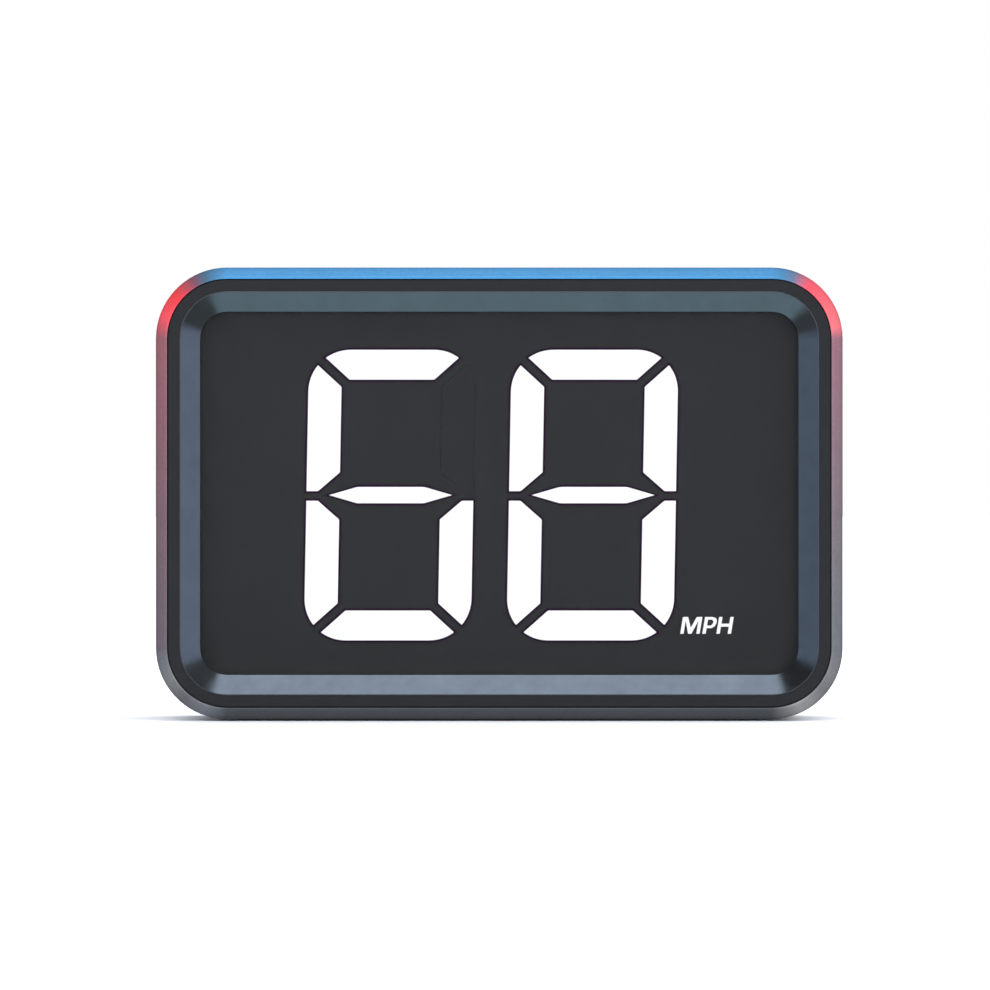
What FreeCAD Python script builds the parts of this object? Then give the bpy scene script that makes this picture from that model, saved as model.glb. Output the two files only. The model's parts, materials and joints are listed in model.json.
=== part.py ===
import FreeCAD, Part
import math
import os
import re
import Sketcher

# A dash-top speed display: a rounded tablet that stands on its lower edge, with a two-digit
# segment display behind a window, and a solar panel, two buttons and a charging port behind.
# X runs to the right seen from the front, Y from the front to the back, Z up.
# The origin is at the middle of the footprint. Sketches count up and across from the middle
# of the case, which is at "pad_proud + case_height / 2" above the surface it stands on.

Vector = FreeCAD.Vector
doc = FreeCAD.newDocument("SpeedDisplay")
sub_parts = []

CENTRE = "pad_proud + case_height / 2"
CELL_COUNT = 10
CHIP_PART_COUNT = 10
HEX_SIDES = 6
# How near an edge must lie to count as found, and the least volume a cut must take.
NEAR = 1e-4
LEAST_CUT = 1e-6
# How far, as a share, a wire's volume may be from its section times its length.
WIRE_SLACK = 0.02

# ---------------------------------------------------------------- driving dimensions

DIMENSIONS = {
    # case outline and the aluminium band round it
    "case_width": 80.0,
    "case_height": 52.6,
    "half_depth": 9.0,
    "corner_radius": 8.3,
    "pad_proud": 0.2,
    "band_inset": 1.36,
    "band_front_bevel": 1.22,
    "band_back_bevel": 1.0,
    "rib_inset": 2.4,
    "rib_front": 1.0,
    "rib_back": 2.0,
    "pad_recess": 0.5,
    "pad_wide": 56.0,
    "pad_deep": 13.0,
    "pad_gap": 0.2,
    "pad_corner": 2.0,
    "pad_edge": 0.12,
    # front shell, trim ring and window
    "shell_inset": 1.44,
    "shell_wall_inset": 2.64,
    "border_front": 8.94,
    "shell_floor": 4.5,
    "trim_inset": 2.77,
    "trim_gap": 0.02,
    "trim_land": 0.13,
    "trim_edge": 0.1,
    "trim_drop": 1.5,
    "trim_seat": 7.2,
    "window_inset": 5.13,
    "lens_inset": 3.9,
    "lens_gap": 0.1,
    "lens_front": 7.17,
    "lens_back": 6.2,
    "lens_ledge": 6.0,
    "opening_inset": 4.9,
    "tape_inset": 4.1,
    "mask_front": 6.16,
    "micro_edge": 0.1,
    # how far joined pieces of one solid run into each other, and cuts run past a face
    "overlap": 0.2,
    "cut_clear": 0.5,
    # digits, in the plane of the mask
    "digit_wide": 19.55,
    "digit_tall": 34.0,
    "digit_corner": 4.9,
    "stroke_side": 3.93,
    "stroke_end": 3.55,
    "stroke_middle": 1.97,
    "corner_cut": 1.19,
    "middle_cut": 1.06,
    "middle_drop": 0.1,
    "side_flat": 1.38,
    "side_slope": 2.2,
    "middle_tip": 7.28,
    "middle_flat": 3.9,
    "middle_shift": 0.08,
    "digit_lean": 0.018,
    "tens_x": -12.77,
    "units_x": 10.89,
    "digit_up": -0.21,
    "legend_left": 21.13,
    "legend_up": -16.4,
    "legend_tall": 1.957,
    "legend_lean": 0.166,
    "legend_middle": 1.7,
    "legend_cell_wide": 4.0,
    "legend_cell_tall": 1.6,
    "legend_cell_gap": 0.1,
    "segment_front": 6.14,
    "segment_back": 4.3,
    "segment_gap": 0.03,
    # display module
    "reflector_wide": 60.4,
    "reflector_tall": 40.0,
    "display_board_front": 2.5,
    "display_board_back": 1.5,
    "display_board_wide": 60.8,
    "display_board_tall": 40.4,
    "ear_wide": 73.6,
    "ear_tall": 24.0,
    "ear_x": 35.2,
    "ear_up": 9.0,
    "led_wide": 1.6,
    "led_tall": 0.8,
    "led_high": 0.6,
    "led_end_x": 3.2,
    "led_side_near": 0.34,
    "led_side_far": 0.68,
    "led_legend_x": 2.0,
    # case screws
    "boss_x": 33.5,
    "boss_up": 19.8,
    "boss_radius": 2.6,
    "boss_top": 4.0,
    "insert_radius": 1.6,
    "insert_long": 4.0,
    "insert_fit": 0.02,
    "insert_slack": 0.1,
    "pilot_radius": 1.15,
    "pilot_deep": 6.1,
    "case_screw_radius": 1.0,
    "case_screw_long": 8.0,
    "case_head_radius": 1.85,
    "case_head_high": 1.5,
    "case_screw_seat": 6.8,
    "counterbore_radius": 2.1,
    "hex_drive": 0.78,
    "hex_deep": 0.8,
    # small board screws
    "post_radius": 1.4,
    "ear_post_radius": 1.6,
    "post_hole": 0.65,
    "small_screw_radius": 0.62,
    "small_head_radius": 1.3,
    "small_head_high": 0.8,
    "ear_hole_deep": 2.4,
    "post_hole_deep": 3.5,
    "screw_short": 0.3,
    "board_hole": 0.8,
    # main board
    "board_front": 1.0,
    "board_back": 2.0,
    "board_wide": 60.4,
    "board_tall": 14.0,
    "board_up": -14.9,
    "post_side": 28.6,
    "post_side_up": -10.4,
    "post_low_up": -20.0,
    "post_low_left": -14.0,
    "post_low_right": 20.0,
    # rear cover
    "cover_front": 2.6,
    "cover_floor": 6.0,
    "control_floor": 7.0,
    "control_up": -15.7,
    "control_wide": 62.0,
    "control_tall": 13.2,
    "strip_wide": 60.0,
    "strip_tall": 12.4,
    "strip_deep": 0.5,
    "solar_wide": 60.0,
    "solar_tall": 30.0,
    "solar_up": 7.3,
    "solar_gap": 0.3,
    "solar_deep": 1.7,
    "solar_corner": 1.5,
    "lead_hole_x": -25.4,
    "lead_hole_up": -6.6,
    "lead_hole_radius": 1.3,
    "seal_inset": 1.5,
    "seal_inner_inset": 2.35,
    # buttons and their switches
    "power_x": 25.0,
    "mode_x": 15.0,
    "button_radius": 3.2,
    "button_gap": 0.2,
    "button_flange": 3.9,
    "button_flange_back": 6.88,
    "button_flange_front": 6.3,
    "button_face": 8.9,
    "button_edge": 0.35,
    "plunger_radius": 1.5,
    "plunger_gap": 0.08,
    "plunger_front": 4.6,
    "plunger_back": 5.9,
    "switch_wide": 6.0,
    "switch_back": 5.2,
    "switch_bore_floor": 4.2,
    # charging port and its flap
    "port_x": -19.8,
    "port_wide": 8.94,
    "port_tall": 3.26,
    "port_inner_wide": 8.34,
    "port_inner_tall": 2.56,
    "port_back": 7.1,
    "port_floor": 2.5,
    "port_gap": 0.2,
    "port_flat": 0.2,
    "tongue_wide": 6.7,
    "tongue_tall": 0.7,
    "tongue_back": 6.4,
    "flap_recess_x": -21.0,
    "flap_recess_wide": 14.0,
    "flap_recess_tall": 7.2,
    "flap_recess_floor": 7.2,
    "flap_recess_corner": 0.8,
    "flap_backing_wide": 16.4,
    "flap_backing_tall": 10.0,
    "flap_x": -20.1,
    "flap_wide": 11.6,
    "flap_tall": 6.8,
    "flap_front": 7.25,
    "flap_back": 8.45,
    "flap_edge": 0.25,
    "lip_wide": 7.6,
    "lip_tall": 1.9,
    "lip_front": 6.6,
    "anchor_x": -26.95,
    "anchor_wide": 1.7,
    "anchor_corner": 0.6,
    "stem_radius": 0.6,
    "stem_hole": 0.64,
    "stem_front": 5.2,
    "stem_bulb": 1.0,
    "bulb_gap": 0.05,
    "notch_x": -13.7,
    "notch_radius": 1.8,
    "notch_floor": 7.9,
    # sounder, antenna and battery
    "buzzer_x": -8.0,
    "buzzer_wide": 9.0,
    "buzzer_high": 1.9,
    "buzzer_port": 1.2,
    "sound_hole": 0.45,
    "sound_pitch": 1.7,
    "antenna_x": 4.2,
    "antenna_wide": 12.0,
    "antenna_high": 4.0,
    "battery_wide": 50.0,
    "battery_tall": 25.0,
    "battery_up": 8.1,
    "battery_front": 1.8,
    "battery_back": 5.8,
    "battery_edge": 0.8,
    "battery_tape_inset": 4.0,
    "wire_radius": 0.4,
    "wire_bend": 0.7,
    "wire_depth": 3.5,
    "lead_start_x": 17.0,
    "lead_start_pitch": 2.0,
    "lead_level_pitch": 1.1,
    "lead_end_x": -7.4,
    "lead_end_pitch": 1.8,
    "lead_end_up": -8.0,
    # connectors and chips on the two boards
    "board_plug_x": 12.0,
    "board_plug_up": -18.2,
    "board_plug_wide": 12.7,
    "board_plug_tall": 2.6,
    "driver_x": -12.0,
    "driver_up": 6.0,
    "driver_wide": 10.2,
    "driver_tall": 7.4,
    "driver_high": 1.0,
    "controller_x": -8.0,
    "controller_up": -14.5,
    "controller_wide": 7.0,
    "controller_high": 0.9,
    "receiver_x": -19.0,
    "receiver_up": -13.2,
    "receiver_wide": 10.0,
    "receiver_tall": 9.6,
    "receiver_high": 1.8,
    "sensor_x": 1.5,
    "sensor_up": -12.5,
    "sensor_wide": 3.0,
    "sensor_high": 1.0,
    "battery_plug_x": -6.5,
    "battery_plug_up": -9.5,
    "battery_plug_wide": 6.6,
    "battery_plug_tall": 3.0,
    "battery_plug_high": 2.8,
    "chip_part_x": -5.0,
    "chip_part_pitch": 3.2,
    "chip_part_up": -9.0,
    # solar panel
    "solar_board_front": 7.5,
    "solar_board_back": 8.3,
    "cell_back": 8.48,
    "ribbon_back": 8.52,
    "glaze_front": 8.56,
    "glaze_back": 8.95,
    "cell_wide": 5.6,
    "cell_tall": 26.0,
    "cell_pitch": 5.85,
    "ribbon_wide": 1.5,
    "ribbon_tall": 0.9,
    "ribbon_up": 9.0,
    "film_inset": 0.5,
    "solar_lead_pitch": 1.1,
    "solar_lead_turn": 1.7,
    "solar_lead_drop": 3.0,
}

sheet = doc.addObject("Spreadsheet::Sheet", "Dims")
for row, (alias, number) in enumerate(DIMENSIONS.items(), start=1):
    sheet.set("A" + str(row), alias)
    sheet.set("B" + str(row), str(number))
    sheet.setAlias("B" + str(row), alias)
doc.recompute()

# ---------------------------------------------------------------- building helpers


def formula(text):
    """The expression that points each name in text at its cell of the sheet."""
    return re.sub(r"[a-z][a-z_]*", r"Dims.\g<0>", text)


def size(text):
    """What an expression of cell names comes to, in millimetres."""
    return float(sheet.evalExpression(formula(text)))


def bind(thing, attribute, text):
    thing.setExpression(attribute, formula(text))


def outline(inset):
    """Width, height and corner radius of the case's outline, drawn in by inset."""
    wide = "case_width - 2 * (" + inset + ")"
    tall = "case_height - 2 * (" + inset + ")"
    radius = "corner_radius - (" + inset + ")"
    return wide, tall, radius


def new_body(label):
    body = doc.addObject("PartDesign::Body", label)
    body.Label = label
    body.AllowCompound = True
    bind(body, "Placement.Base.z", CENTRE)
    sub_parts.append(body)
    return body


def sketch_at(body, name, depth, across="0", up="0"):
    """A sketch parallel to the front, at a depth, with its origin across and up from the middle."""
    sketch = body.newObject("Sketcher::SketchObject", body.Label + "_" + name)
    plane = [item for item in body.Origin.OriginFeatures if item.Role == "XZ_Plane"][0]
    sketch.AttachmentSupport = (plane, [""])
    sketch.MapMode = "FlatFace"
    bind(sketch, "AttachmentOffset.Base.x", across)
    bind(sketch, "AttachmentOffset.Base.y", up)
    bind(sketch, "AttachmentOffset.Base.z", "-(" + depth + ")")
    return sketch


def sketch_level(body, name, up):
    """A level sketch, seen from above, at a height over the middle of the case."""
    sketch = body.newObject("Sketcher::SketchObject", body.Label + "_" + name)
    plane = [item for item in body.Origin.OriginFeatures if item.Role == "XY_Plane"][0]
    sketch.AttachmentSupport = (plane, [""])
    sketch.MapMode = "FlatFace"
    bind(sketch, "AttachmentOffset.Base.z", up)
    return sketch


def constrain(sketch, text, *terms):
    """One sized constraint whose value follows an expression."""
    number = sketch.addConstraint(Sketcher.Constraint(*terms, size(text)))
    bind(sketch, "Constraints[" + str(number) + "]", text)


def rounded(sketch, wide, tall, radius):
    """A rounded rectangle about the sketch's origin."""
    half_wide = size(wide) / 2
    half_tall = size(tall) / 2
    bend = size(radius)
    x = half_wide - bend
    y = half_tall - bend
    corners = [(x, -y), (x, y), (-x, y), (-x, -y)]
    first = sketch.GeometryCount
    for turn, (corner_x, corner_y) in enumerate(corners):
        previous_x, previous_y = corners[turn - 1]
        start = (turn - 1) * math.pi / 2
        reach = Vector(math.cos(start) * bend, math.sin(start) * bend, 0)
        line_start = Vector(previous_x, previous_y, 0) + reach
        line_end = Vector(corner_x, corner_y, 0) + reach
        sketch.addGeometry(Part.LineSegment(line_start, line_end))
        circle = Part.Circle(Vector(corner_x, corner_y, 0), Vector(0, 0, 1), bend)
        sketch.addGeometry(Part.ArcOfCircle(circle, start, start + math.pi / 2))
    for side in range(4):
        line = first + 2 * side
        arc = line + 1
        following = first + (2 * side + 2) % 8
        sketch.addConstraint(Sketcher.Constraint("Tangent", line, 2, arc, 1))
        sketch.addConstraint(Sketcher.Constraint("Tangent", arc, 2, following, 1))
        direction = "Horizontal" if side % 2 == 0 else "Vertical"
        sketch.addConstraint(Sketcher.Constraint(direction, line))
    for arc in (first + 3, first + 5, first + 7):
        sketch.addConstraint(Sketcher.Constraint("Equal", first + 1, arc))
    sketch.addConstraint(Sketcher.Constraint("Symmetric", first + 1, 3, first + 5, 3, -1, 1))
    constrain(sketch, radius, "Radius", first + 1)
    constrain(sketch, wide, "DistanceX", first + 6, 1, first + 2, 1)
    constrain(sketch, tall, "DistanceY", first, 1, first + 4, 1)


def place_point(sketch, geometry, point, across, up):
    """Hold a point of the sketch at a distance across and up from the sketch's origin."""
    if size(across) == 0:
        sketch.addConstraint(Sketcher.Constraint("PointOnObject", geometry, point, -2))
    else:
        constrain(sketch, across, "DistanceX", -1, 1, geometry, point)
    if size(up) == 0:
        sketch.addConstraint(Sketcher.Constraint("PointOnObject", geometry, point, -1))
    else:
        constrain(sketch, up, "DistanceY", -1, 1, geometry, point)


def circles(sketch, centres, radius):
    """Equal circles, each centred across and up from the sketch's origin."""
    for across, up in centres:
        centre = Vector(size(across), size(up), 0)
        number = sketch.addGeometry(Part.Circle(centre, Vector(0, 0, 1), size(radius)))
        constrain(sketch, radius, "Radius", number)
        place_point(sketch, number, 3, across, up)


def rectangles(sketch, centres, wide, tall):
    """Equal rectangles, each centred at a pair of numbers from the sketch's origin."""
    half_wide = size(wide) / 2
    half_tall = size(tall) / 2
    for across, up in centres:
        corners = [
            Vector(across - half_wide, up - half_tall, 0),
            Vector(across + half_wide, up - half_tall, 0),
            Vector(across + half_wide, up + half_tall, 0),
            Vector(across - half_wide, up + half_tall, 0),
        ]
        first = sketch.GeometryCount
        for number, corner in enumerate(corners):
            sketch.addGeometry(Part.LineSegment(corner, corners[(number + 1) % 4]))
        for side in range(4):
            following = first + (side + 1) % 4
            sketch.addConstraint(Sketcher.Constraint("Coincident", first + side, 2, following, 1))
            direction = "Horizontal" if side % 2 == 0 else "Vertical"
            sketch.addConstraint(Sketcher.Constraint(direction, first + side))
        constrain(sketch, wide, "DistanceX", first, 1, first, 2)
        constrain(sketch, tall, "DistanceY", first + 1, 1, first + 1, 2)
        sketch.addConstraint(Sketcher.Constraint("DistanceX", -1, 1, first, 1, corners[0].x))
        sketch.addConstraint(Sketcher.Constraint("DistanceY", -1, 1, first, 1, corners[0].y))


def draw_outline(sketch, steps):
    """A closed outline: each step is an end point, or a point to pass through and an end point."""
    start = steps[-1][-1]
    for step in steps:
        if len(step) == 1:
            edge = Part.LineSegment(start, step[0])
        else:
            edge = Part.Arc(start, step[0], step[1])
        number = sketch.addGeometry(edge)
        sketch.addConstraint(Sketcher.Constraint("Block", number))
        start = step[-1]


def pad(body, sketch, length, backward=True):
    """Add the sketch's outlines as solid, towards the back unless told otherwise."""
    feature = body.newObject("PartDesign::Pad", sketch.Name + "_pad")
    feature.Profile = sketch
    feature.Reversed = backward
    bind(feature, "Length", length)
    doc.recompute()
    return feature


def pocket(body, sketch, length, backward=True):
    """Cut the sketch's outlines away, towards the back unless told otherwise."""
    before = body.Shape.Volume
    feature = body.newObject("PartDesign::Pocket", sketch.Name + "_pocket")
    feature.Profile = sketch
    feature.Reversed = not backward
    bind(feature, "Length", length)
    doc.recompute()
    if body.Shape.Volume >= before - LEAST_CUT:
        raise RuntimeError(feature.Name + " cuts nothing")
    return feature


def outline_edges(body, depth, wide, tall, radius, across="0", up="0"):
    """Names of the edges that run round a rounded rectangle at a depth."""
    names = []
    bend = size(radius)
    for number, edge in enumerate(body.Tip.Shape.Edges, start=1):
        on_line = True
        for share in (0.0, 0.5, 1.0):
            first, last = edge.ParameterRange
            point = edge.valueAt(first + (last - first) * share)
            out_x = abs(point.x - size(across)) - size(wide) / 2 + bend
            out_z = abs(point.z - size(up)) - size(tall) / 2 + bend
            outside = math.hypot(max(out_x, 0), max(out_z, 0))
            distance = outside + min(max(out_x, out_z), 0) - bend
            if abs(point.y - size(depth)) > NEAR or abs(distance) > NEAR:
                on_line = False
        if on_line:
            names.append("Edge" + str(number))
    return names


def circle_edges(body, depth, radius):
    """Names of the round edges of a radius at a depth."""
    names = []
    for number, edge in enumerate(body.Tip.Shape.Edges, start=1):
        is_round = hasattr(edge.Curve, "Radius") and abs(edge.Curve.Radius - size(radius)) < NEAR
        if is_round and abs(edge.Curve.Center.y - size(depth)) < NEAR:
            names.append("Edge" + str(number))
    return names


def bevel(body, names, amount, second=None):
    """Cut the named edges to a bevel, with a second size where its two legs differ."""
    if not names:
        raise RuntimeError(body.Label + " has no such edge to bevel")
    sharp = body.Tip
    feature = body.newObject("PartDesign::Chamfer", body.Label + "_bevel")
    feature.Base = (sharp, names)
    bind(feature, "Size", amount)
    if second:
        feature.ChamferType = "Two distances"
        bind(feature, "Size2", second)
    doc.recompute()
    return feature


def soften(body, names, radius):
    """Round the named edges."""
    if not names:
        raise RuntimeError(body.Label + " has no such edge to round")
    sharp = body.Tip
    feature = body.newObject("PartDesign::Fillet", body.Label + "_round")
    feature.Base = (sharp, names)
    bind(feature, "Radius", radius)
    doc.recompute()
    return feature


def block(label, across, up, wide, tall, front, back):
    """A plain box between two depths, centred across and up from the middle of the case."""
    box = doc.addObject("Part::Box", label)
    box.Label = label
    bind(box, "Length", wide)
    bind(box, "Width", "(" + back + ") - (" + front + ")")
    bind(box, "Height", tall)
    bind(box, "Placement.Base.x", across + " - (" + wide + ") / 2")
    bind(box, "Placement.Base.y", front)
    bind(box, "Placement.Base.z", CENTRE + " + (" + up + ") - (" + tall + ") / 2")
    return box


def rod(label, across, up, radius, front, back):
    """A cylinder that runs from front to back between two depths."""
    cylinder = doc.addObject("Part::Cylinder", label)
    cylinder.Label = label
    cylinder.Placement.Rotation = FreeCAD.Rotation(Vector(1, 0, 0), -90)
    bind(cylinder, "Radius", radius)
    bind(cylinder, "Height", "(" + back + ") - (" + front + ")")
    bind(cylinder, "Placement.Base.x", across)
    bind(cylinder, "Placement.Base.y", front)
    bind(cylinder, "Placement.Base.z", CENTRE + " + (" + up + ")")
    return cylinder


def keep(thing):
    """Count a plain Part object as a sub-part."""
    sub_parts.append(thing)
    return thing


def cut_from(label, base, tool):
    """A sub-part: one Part object with another cut out of it."""
    result = doc.addObject("Part::Cut", label)
    result.Label = label
    result.Base = base
    result.Tool = tool
    return keep(result)


def shape_part(label, shape):
    """A sub-part whose shape is made directly, placed at the middle of the case."""
    feature = doc.addObject("Part::Feature", label)
    feature.Label = label
    feature.Shape = shape
    bind(feature, "Placement.Base.z", CENTRE)
    return keep(feature)


# ---------------------------------------------------------------- digit outlines


def leaning(centre_x, across, up):
    """A point of a digit, moved over by the digit's lean."""
    return Vector(centre_x + across + up * size("digit_lean"), up + size("digit_up"), 0)


def segment_outlines(centre_x, inset):
    """Outline of each of a digit's seven segments, drawn in by inset, by its usual letter."""
    half_wide = size("digit_wide") / 2 - inset
    half_tall = size("digit_tall") / 2 - inset
    bend = size("digit_corner") - inset
    inner_x = size("digit_wide") / 2 - size("stroke_side") + inset
    inner_y = size("digit_tall") / 2 - size("stroke_end") + inset
    half_cut = size("corner_cut") / 2 + inset
    round_x = half_wide - bend
    round_y = half_tall - bend

    # The corner cut runs from the digit's outer corner to its inner one.
    run = size("stroke_side")
    rise = size("stroke_end")
    length = math.hypot(run, rise)
    along = (run / length, rise / length)

    def cut_line(side):
        """A point and the direction of the cut's edge towards the end (+1) or side (-1) stroke."""
        corner_x = size("digit_wide") / 2
        corner_y = size("digit_tall") / 2
        return corner_x - side * along[1] * half_cut, corner_y + side * along[0] * half_cut

    def meet_round(side):
        """Where the cut's edge meets the digit's rounded corner."""
        base_x, base_y = cut_line(side)
        offset_x = base_x - round_x
        offset_y = base_y - round_y
        middle = -(offset_x * along[0] + offset_y * along[1])
        root = math.sqrt(bend**2 - offset_x**2 - offset_y**2 + middle**2)
        return base_x + along[0] * (middle + root), base_y + along[1] * (middle + root)

    def on_round(x, y, share):
        """A point of the rounded corner, part of the way from x, y to the end stroke's edge."""
        start = math.atan2(y - round_y, x - round_x)
        angle = start + (math.pi / 2 - start) * share
        return round_x + bend * math.cos(angle), round_y + bend * math.sin(angle)

    end_x, end_y = meet_round(1)
    end_mid = on_round(end_x, end_y, 0.5)
    side_x, side_y = meet_round(-1)
    side_angle = math.atan2(side_y - round_y, side_x - round_x) / 2
    side_mid = (round_x + bend * math.cos(side_angle), round_y + bend * math.sin(side_angle))
    base_x, base_y = cut_line(1)
    end_inner_x = base_x - (base_y - inner_y) * run / rise
    base_x, base_y = cut_line(-1)
    side_inner_y = base_y - (base_x - inner_x) * rise / run

    drop = size("middle_drop")
    gap = size("middle_cut") / 2 + inset
    flat_x = size("digit_wide") / 2 - size("side_flat") + inset / 2
    half_middle = size("stroke_middle") / 2 - inset
    tip_x = size("middle_tip") - 3 * inset
    middle_x = size("middle_flat")

    def end_stroke(flip):
        steps = [
            [(-end_inner_x, inner_y)],
            [(-end_x, end_y)],
            [(-end_mid[0], end_mid[1]), (-round_x, half_tall)],
            [(round_x, half_tall)],
            [end_mid, (end_x, end_y)],
            [(end_inner_x, inner_y)],
        ]
        return [[(x, y * flip) for x, y in step] for step in steps]

    def side_stroke(side, flip):
        low = gap - drop * flip
        slope_top = low + size("side_slope")
        steps = [
            [(inner_x, side_inner_y)],
            [(side_x, side_y)],
            [side_mid, (half_wide, round_y)],
            [(half_wide, low)],
            [(flat_x, low)],
            [(inner_x, slope_top)],
        ]
        return [[(x * side, y * flip) for x, y in step] for step in steps]

    shift = size("middle_shift")
    middle_stroke = [
        [(shift - tip_x, 0)],
        [(shift - middle_x, half_middle)],
        [(shift + middle_x, half_middle)],
        [(shift + tip_x, 0)],
        [(shift + middle_x, -half_middle)],
        [(shift - middle_x, -half_middle)],
    ]
    strokes = {
        "a": end_stroke(1),
        "b": side_stroke(1, 1),
        "c": side_stroke(1, -1),
        "d": end_stroke(-1),
        "e": side_stroke(-1, -1),
        "f": side_stroke(-1, 1),
        "g": middle_stroke,
    }
    return {
        letter: [[leaning(centre_x, x, y) for x, y in step] for step in steps]
        for letter, steps in strokes.items()
    }


def legend_outlines():
    """Outlines of the small unit legend's three letters, in units of their height."""
    stem = 0.2
    letter_m = [
        (0, 0), (0, 1), (0.31, 1), (0.57, 0.36), (0.83, 1), (1.16, 1),
        (1.16, 0), (1.16 - stem, 0), (1.16 - stem, 0.78), (0.67, 0), (0.47, 0), (stem, 0.78), (stem, 0),
    ]
    letter_p = [
        (0, 0), (0, 1), (0.46, 1), (0.66, 0.93), (0.74, 0.8), (0.74, 0.64), (0.67, 0.44),
        (0.48, 0.33), (stem, 0.33), (stem, 0),
    ]
    letter_p_eye = [(stem, 0.49), (stem, 0.84), (0.44, 0.84), (0.54, 0.75), (0.54, 0.63), (0.44, 0.49)]
    letter_h = [
        (0, 0), (0, 1), (stem, 1), (stem, 0.6), (0.67, 0.6), (0.67, 1), (0.67 + stem, 1),
        (0.67 + stem, 0), (0.67, 0), (0.67, 0.42), (stem, 0.42), (stem, 0),
    ]
    start_p = 1.32
    start_h = 2.16
    placed = [(0, letter_m), (start_p, letter_p), (start_p, letter_p_eye), (start_h, letter_h)]
    tall = size("legend_tall")
    lean = size("legend_lean")
    outlines = []
    for start, points in placed:
        steps = []
        for x, y in points:
            across = size("legend_left") + tall * (start + x + lean * y)
            steps.append([Vector(across, size("legend_up") + tall * y, 0)])
        outlines.append(steps)
    return outlines


DIGITS = {"tens": size("tens_x"), "units": size("units_x")}

# ---------------------------------------------------------------- case


def make_side_band():
    body = new_body("side_band")
    section = sketch_at(body, "section", "-half_depth")
    rounded(section, *outline("0"))
    rounded(section, *outline("band_inset"))
    pad(body, section, "2 * half_depth")
    rib = sketch_at(body, "rib", "rib_front")
    rounded(rib, *outline("band_inset / 2"))
    rounded(rib, *outline("rib_inset"))
    pad(body, rib, "rib_back - rib_front")
    recess = sketch_level(body, "pad_recess", "-case_height / 2")
    rounded(recess, "pad_wide + 2 * pad_gap", "pad_deep + 2 * pad_gap", "pad_corner")
    pocket(body, recess, "pad_recess", backward=False)
    bevel(body, outline_edges(body, "-half_depth", *outline("0")), "band_front_bevel")
    bevel(body, outline_edges(body, "half_depth", *outline("0")), "band_back_bevel")


BOSSES = [("boss_x", "boss_up"), ("-boss_x", "boss_up"), ("-boss_x", "-boss_up"), ("boss_x", "-boss_up")]
EARS = [("ear_x", "ear_up"), ("-ear_x", "ear_up"), ("-ear_x", "-ear_up"), ("ear_x", "-ear_up")]
POSTS = [
    ("post_side", "post_side_up"),
    ("-post_side", "post_side_up"),
    ("post_low_left", "post_low_up"),
    ("post_low_right", "post_low_up"),
]


def make_front_housing():
    body = new_body("front_housing")
    shell = sketch_at(body, "shell", "-border_front")
    rounded(shell, *outline("shell_inset"))
    pad(body, shell, "rib_front + border_front")
    trim_recess = sketch_at(body, "trim_recess", "-border_front")
    rounded(trim_recess, *outline("trim_inset"))
    pocket(body, trim_recess, "border_front - trim_seat")
    lens_recess = sketch_at(body, "lens_recess", "-trim_seat")
    rounded(lens_recess, *outline("lens_inset"))
    pocket(body, lens_recess, "trim_seat - lens_ledge")
    opening = sketch_at(body, "opening", "-lens_ledge")
    rounded(opening, *outline("opening_inset"))
    pocket(body, opening, "lens_ledge - shell_floor")
    inside = sketch_at(body, "inside", "rib_front")
    rounded(inside, *outline("shell_wall_inset"))
    pocket(body, inside, "rib_front + shell_floor", backward=False)
    bosses = sketch_at(body, "bosses", "-shell_floor - overlap")
    circles(bosses, BOSSES, "boss_radius")
    pad(body, bosses, "boss_top + shell_floor + overlap")
    ear_posts = sketch_at(body, "ear_posts", "-shell_floor - overlap")
    circles(ear_posts, EARS, "ear_post_radius")
    pad(body, ear_posts, "shell_floor - display_board_front + overlap")
    insert_holes = sketch_at(body, "insert_holes", "boss_top")
    circles(insert_holes, BOSSES, "insert_radius + insert_fit")
    pocket(body, insert_holes, "insert_long + insert_slack", backward=False)
    pilot_holes = sketch_at(body, "pilot_holes", "boss_top")
    circles(pilot_holes, BOSSES, "pilot_radius")
    pocket(body, pilot_holes, "pilot_deep", backward=False)
    ear_holes = sketch_at(body, "ear_holes", "-display_board_front")
    circles(ear_holes, EARS, "post_hole")
    pocket(body, ear_holes, "ear_hole_deep", backward=False)
    bevel(body, outline_edges(body, "-border_front", *outline("shell_inset")), "micro_edge")


def make_screen_trim():
    body = new_body("screen_trim")
    ring = sketch_at(body, "ring", "-half_depth")
    rounded(ring, *outline("trim_inset + trim_gap"))
    rounded(ring, *outline("window_inset"))
    pad(body, ring, "half_depth - trim_seat")
    slope_run = "window_inset - trim_inset - trim_gap - trim_land"
    inner = outline_edges(body, "-half_depth", *outline("window_inset"))
    whole = body.Shape.Volume
    slope = bevel(body, inner, slope_run, "trim_drop")
    window = outline_edges(body, "-half_depth + trim_drop", *outline("window_inset"))
    if not window:
        slope.FlipDirection = True
        doc.recompute()
    if body.Shape.Volume >= whole:
        raise RuntimeError("the trim's slope cuts nothing")
    bevel(body, outline_edges(body, "-half_depth", *outline("trim_inset + trim_gap")), "trim_edge")


def make_window():
    body = new_body("window_lens")
    plate = sketch_at(body, "plate", "-lens_front")
    rounded(plate, *outline("lens_inset + lens_gap"))
    pad(body, plate, "lens_front - lens_back")
    bevel(body, outline_edges(body, "-lens_front", *outline("lens_inset + lens_gap")), "micro_edge")
    tape = new_body("lens_tape")
    ring = sketch_at(tape, "ring", "-lens_back")
    rounded(ring, *outline("tape_inset"))
    rounded(ring, *outline("opening_inset - lens_gap"))
    pad(tape, ring, "lens_back - lens_ledge")


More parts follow.
